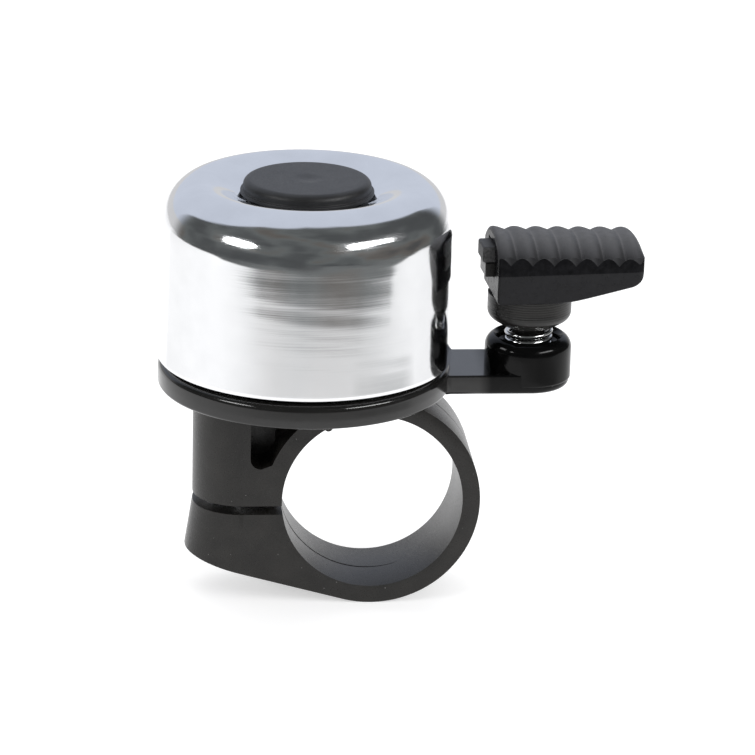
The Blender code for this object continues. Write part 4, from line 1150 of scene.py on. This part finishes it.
# %% Shell in front
SHELL = 420.0
SHELL_FOOT = -12
SHELL_LEFT, SHELL_RIGHT = -125, 144
SHELL_TOP = np.array([(-125, 14), (-113, 29), (-97, 38), (-80, 48), (-60, 68), (0, 82), (60, 78), (82, 68),
                      (105, 56), (132, 38), (144, 12)]).T
degrees = np.linspace(SHELL_LEFT, SHELL_RIGHT, 110)[:, None]
share = np.linspace(0, 1, 160)[None]
rise = np.radians(SHELL_FOOT + share * (np.interp(degrees, *SHELL_TOP) - SHELL_FOOT))
turn = np.radians(degrees) + VIEW_TURN + 0 * rise
fade_sides = smooth(degrees, SHELL_LEFT, -108) * (1 - smooth(degrees, 128, SHELL_RIGHT))
dark = flag("flag_front", MIDDLE + SHELL * direction(turn, rise), (1 - smooth(share, 0.90, 1.0)) * fade_sides)
print("shell:", len(dark.data.polygons), "faces")

# %% Card on the floor, partly a painted shadow
CARD_START, CARD_END, CARD_LIFT = 85, SHELL + 200, 2
CARD_EDGE = np.array([(-125, 600), (-90, 560), (-76, 400), (-64, 210), (-50, 160), (-32, 130), (0, 118),
                      (40, 115), (66, 128), (78, 190), (92, 330), (112, 500), (144, 600)]).T
distance = CARD_START + share * (CARD_END - CARD_START) + 0 * degrees
edge = 0.97 * smooth(distance - np.interp(degrees, *CARD_EDGE), -8, 34)
# Painted shadow: the next two covers darken the floor that the dome's side reflects, mostly in front and near
# the bell at the right, for the bell's own shadow on the floor.
painted_floor_shadow = 0.34 * smooth(degrees, -72, -4) * (1 - 0.7 * smooth(degrees, 45, 92)) + 0.10
foot = 0.55 * smooth(degrees, 10, 45) * (1 - smooth(degrees, 75, 100)) * (1 - smooth(distance, 108, 116))
height = 0 * distance + floor_z + CARD_LIFT
grid = np.stack([DOME_X + distance * np.sin(turn), -distance * np.cos(turn), height], -1)
dark_floor = flag("flag_floor", grid, np.maximum(np.maximum(edge, painted_floor_shadow + 0 * distance), foot))
print("card:", len(dark_floor.data.polygons), "faces")

# %% [markdown]
# Above the cards the dome sees a pale blue-grey ceiling, which tints its top. A world colour would do,
# but it would light every piece blue, so the ceiling is a glowing cap that only reflections see.
# Two oval lamps give the bright bars on the shoulder, and a large one behind, which the dome doesn't
# mirror, lightens the whole bell softly.

# %% Ceiling
CEILING = 560
glow, tree, shader = finish("sky_grey", specular=0.0)
shader.inputs["Base Color"].default_value = (0.0, 0.0, 0.0, 1.0)
shader.inputs["Emission Color"].default_value = (0.60, 0.645, 0.745, 1.0)
shader.inputs["Emission Strength"].default_value = 1.08
around, up = np.radians(np.meshgrid(np.linspace(0, 360, 73), np.linspace(9, 90, 25), indexing="ij"))
sky = only_mirrored(surface("sky_card", CEILING * direction(around, up) + MIDDLE), glow)
print("ceiling:", len(sky.data.polygons), "faces")


# %% Lamps
def lamp(name, azimuth, rise, distance, width, height, power, mirrored=True):
    """An oval area lamp facing the dome, placed by azimuth and elevation about it."""
    a, e = np.radians(azimuth) + VIEW_TURN, np.radians(rise)
    away = direction(a, e)
    sideways = np.array([np.cos(a), np.sin(a), 0.0])
    made = bpy.data.objects.new(name, bpy.data.lights.new(name, "AREA"))
    bpy.context.scene.collection.objects.link(made)
    made.data.shape = "ELLIPSE"
    made.data.size, made.data.size_y = width * MM, height * MM
    made.data.energy = power
    made.visible_glossy = mirrored
    aim(made, sideways, np.cross(away, sideways), away, MIDDLE + distance * away)
    return made


key_left = lamp("lamp_left", -53, 22, 400, 190, 60, 0.34)
key_right = lamp("lamp_right", 55, 26, 400, 370, 56, 0.66)
top_lamp = lamp("lamp_top", 180, 60, 700, 800, 800, 2.2, mirrored=False)

world = bpy.data.worlds.new("studio")
bpy.context.scene.world = world
world.use_nodes = True
world.node_tree.nodes["Background"].inputs["Color"].default_value = (0.70, 0.70, 0.71, 1.0)
world.node_tree.nodes["Background"].inputs["Strength"].default_value = 1.0
bpy.context.scene.view_settings.view_transform = "Standard"
print("stage:", floor.name, key_left.name, key_right.name, top_lamp.name)
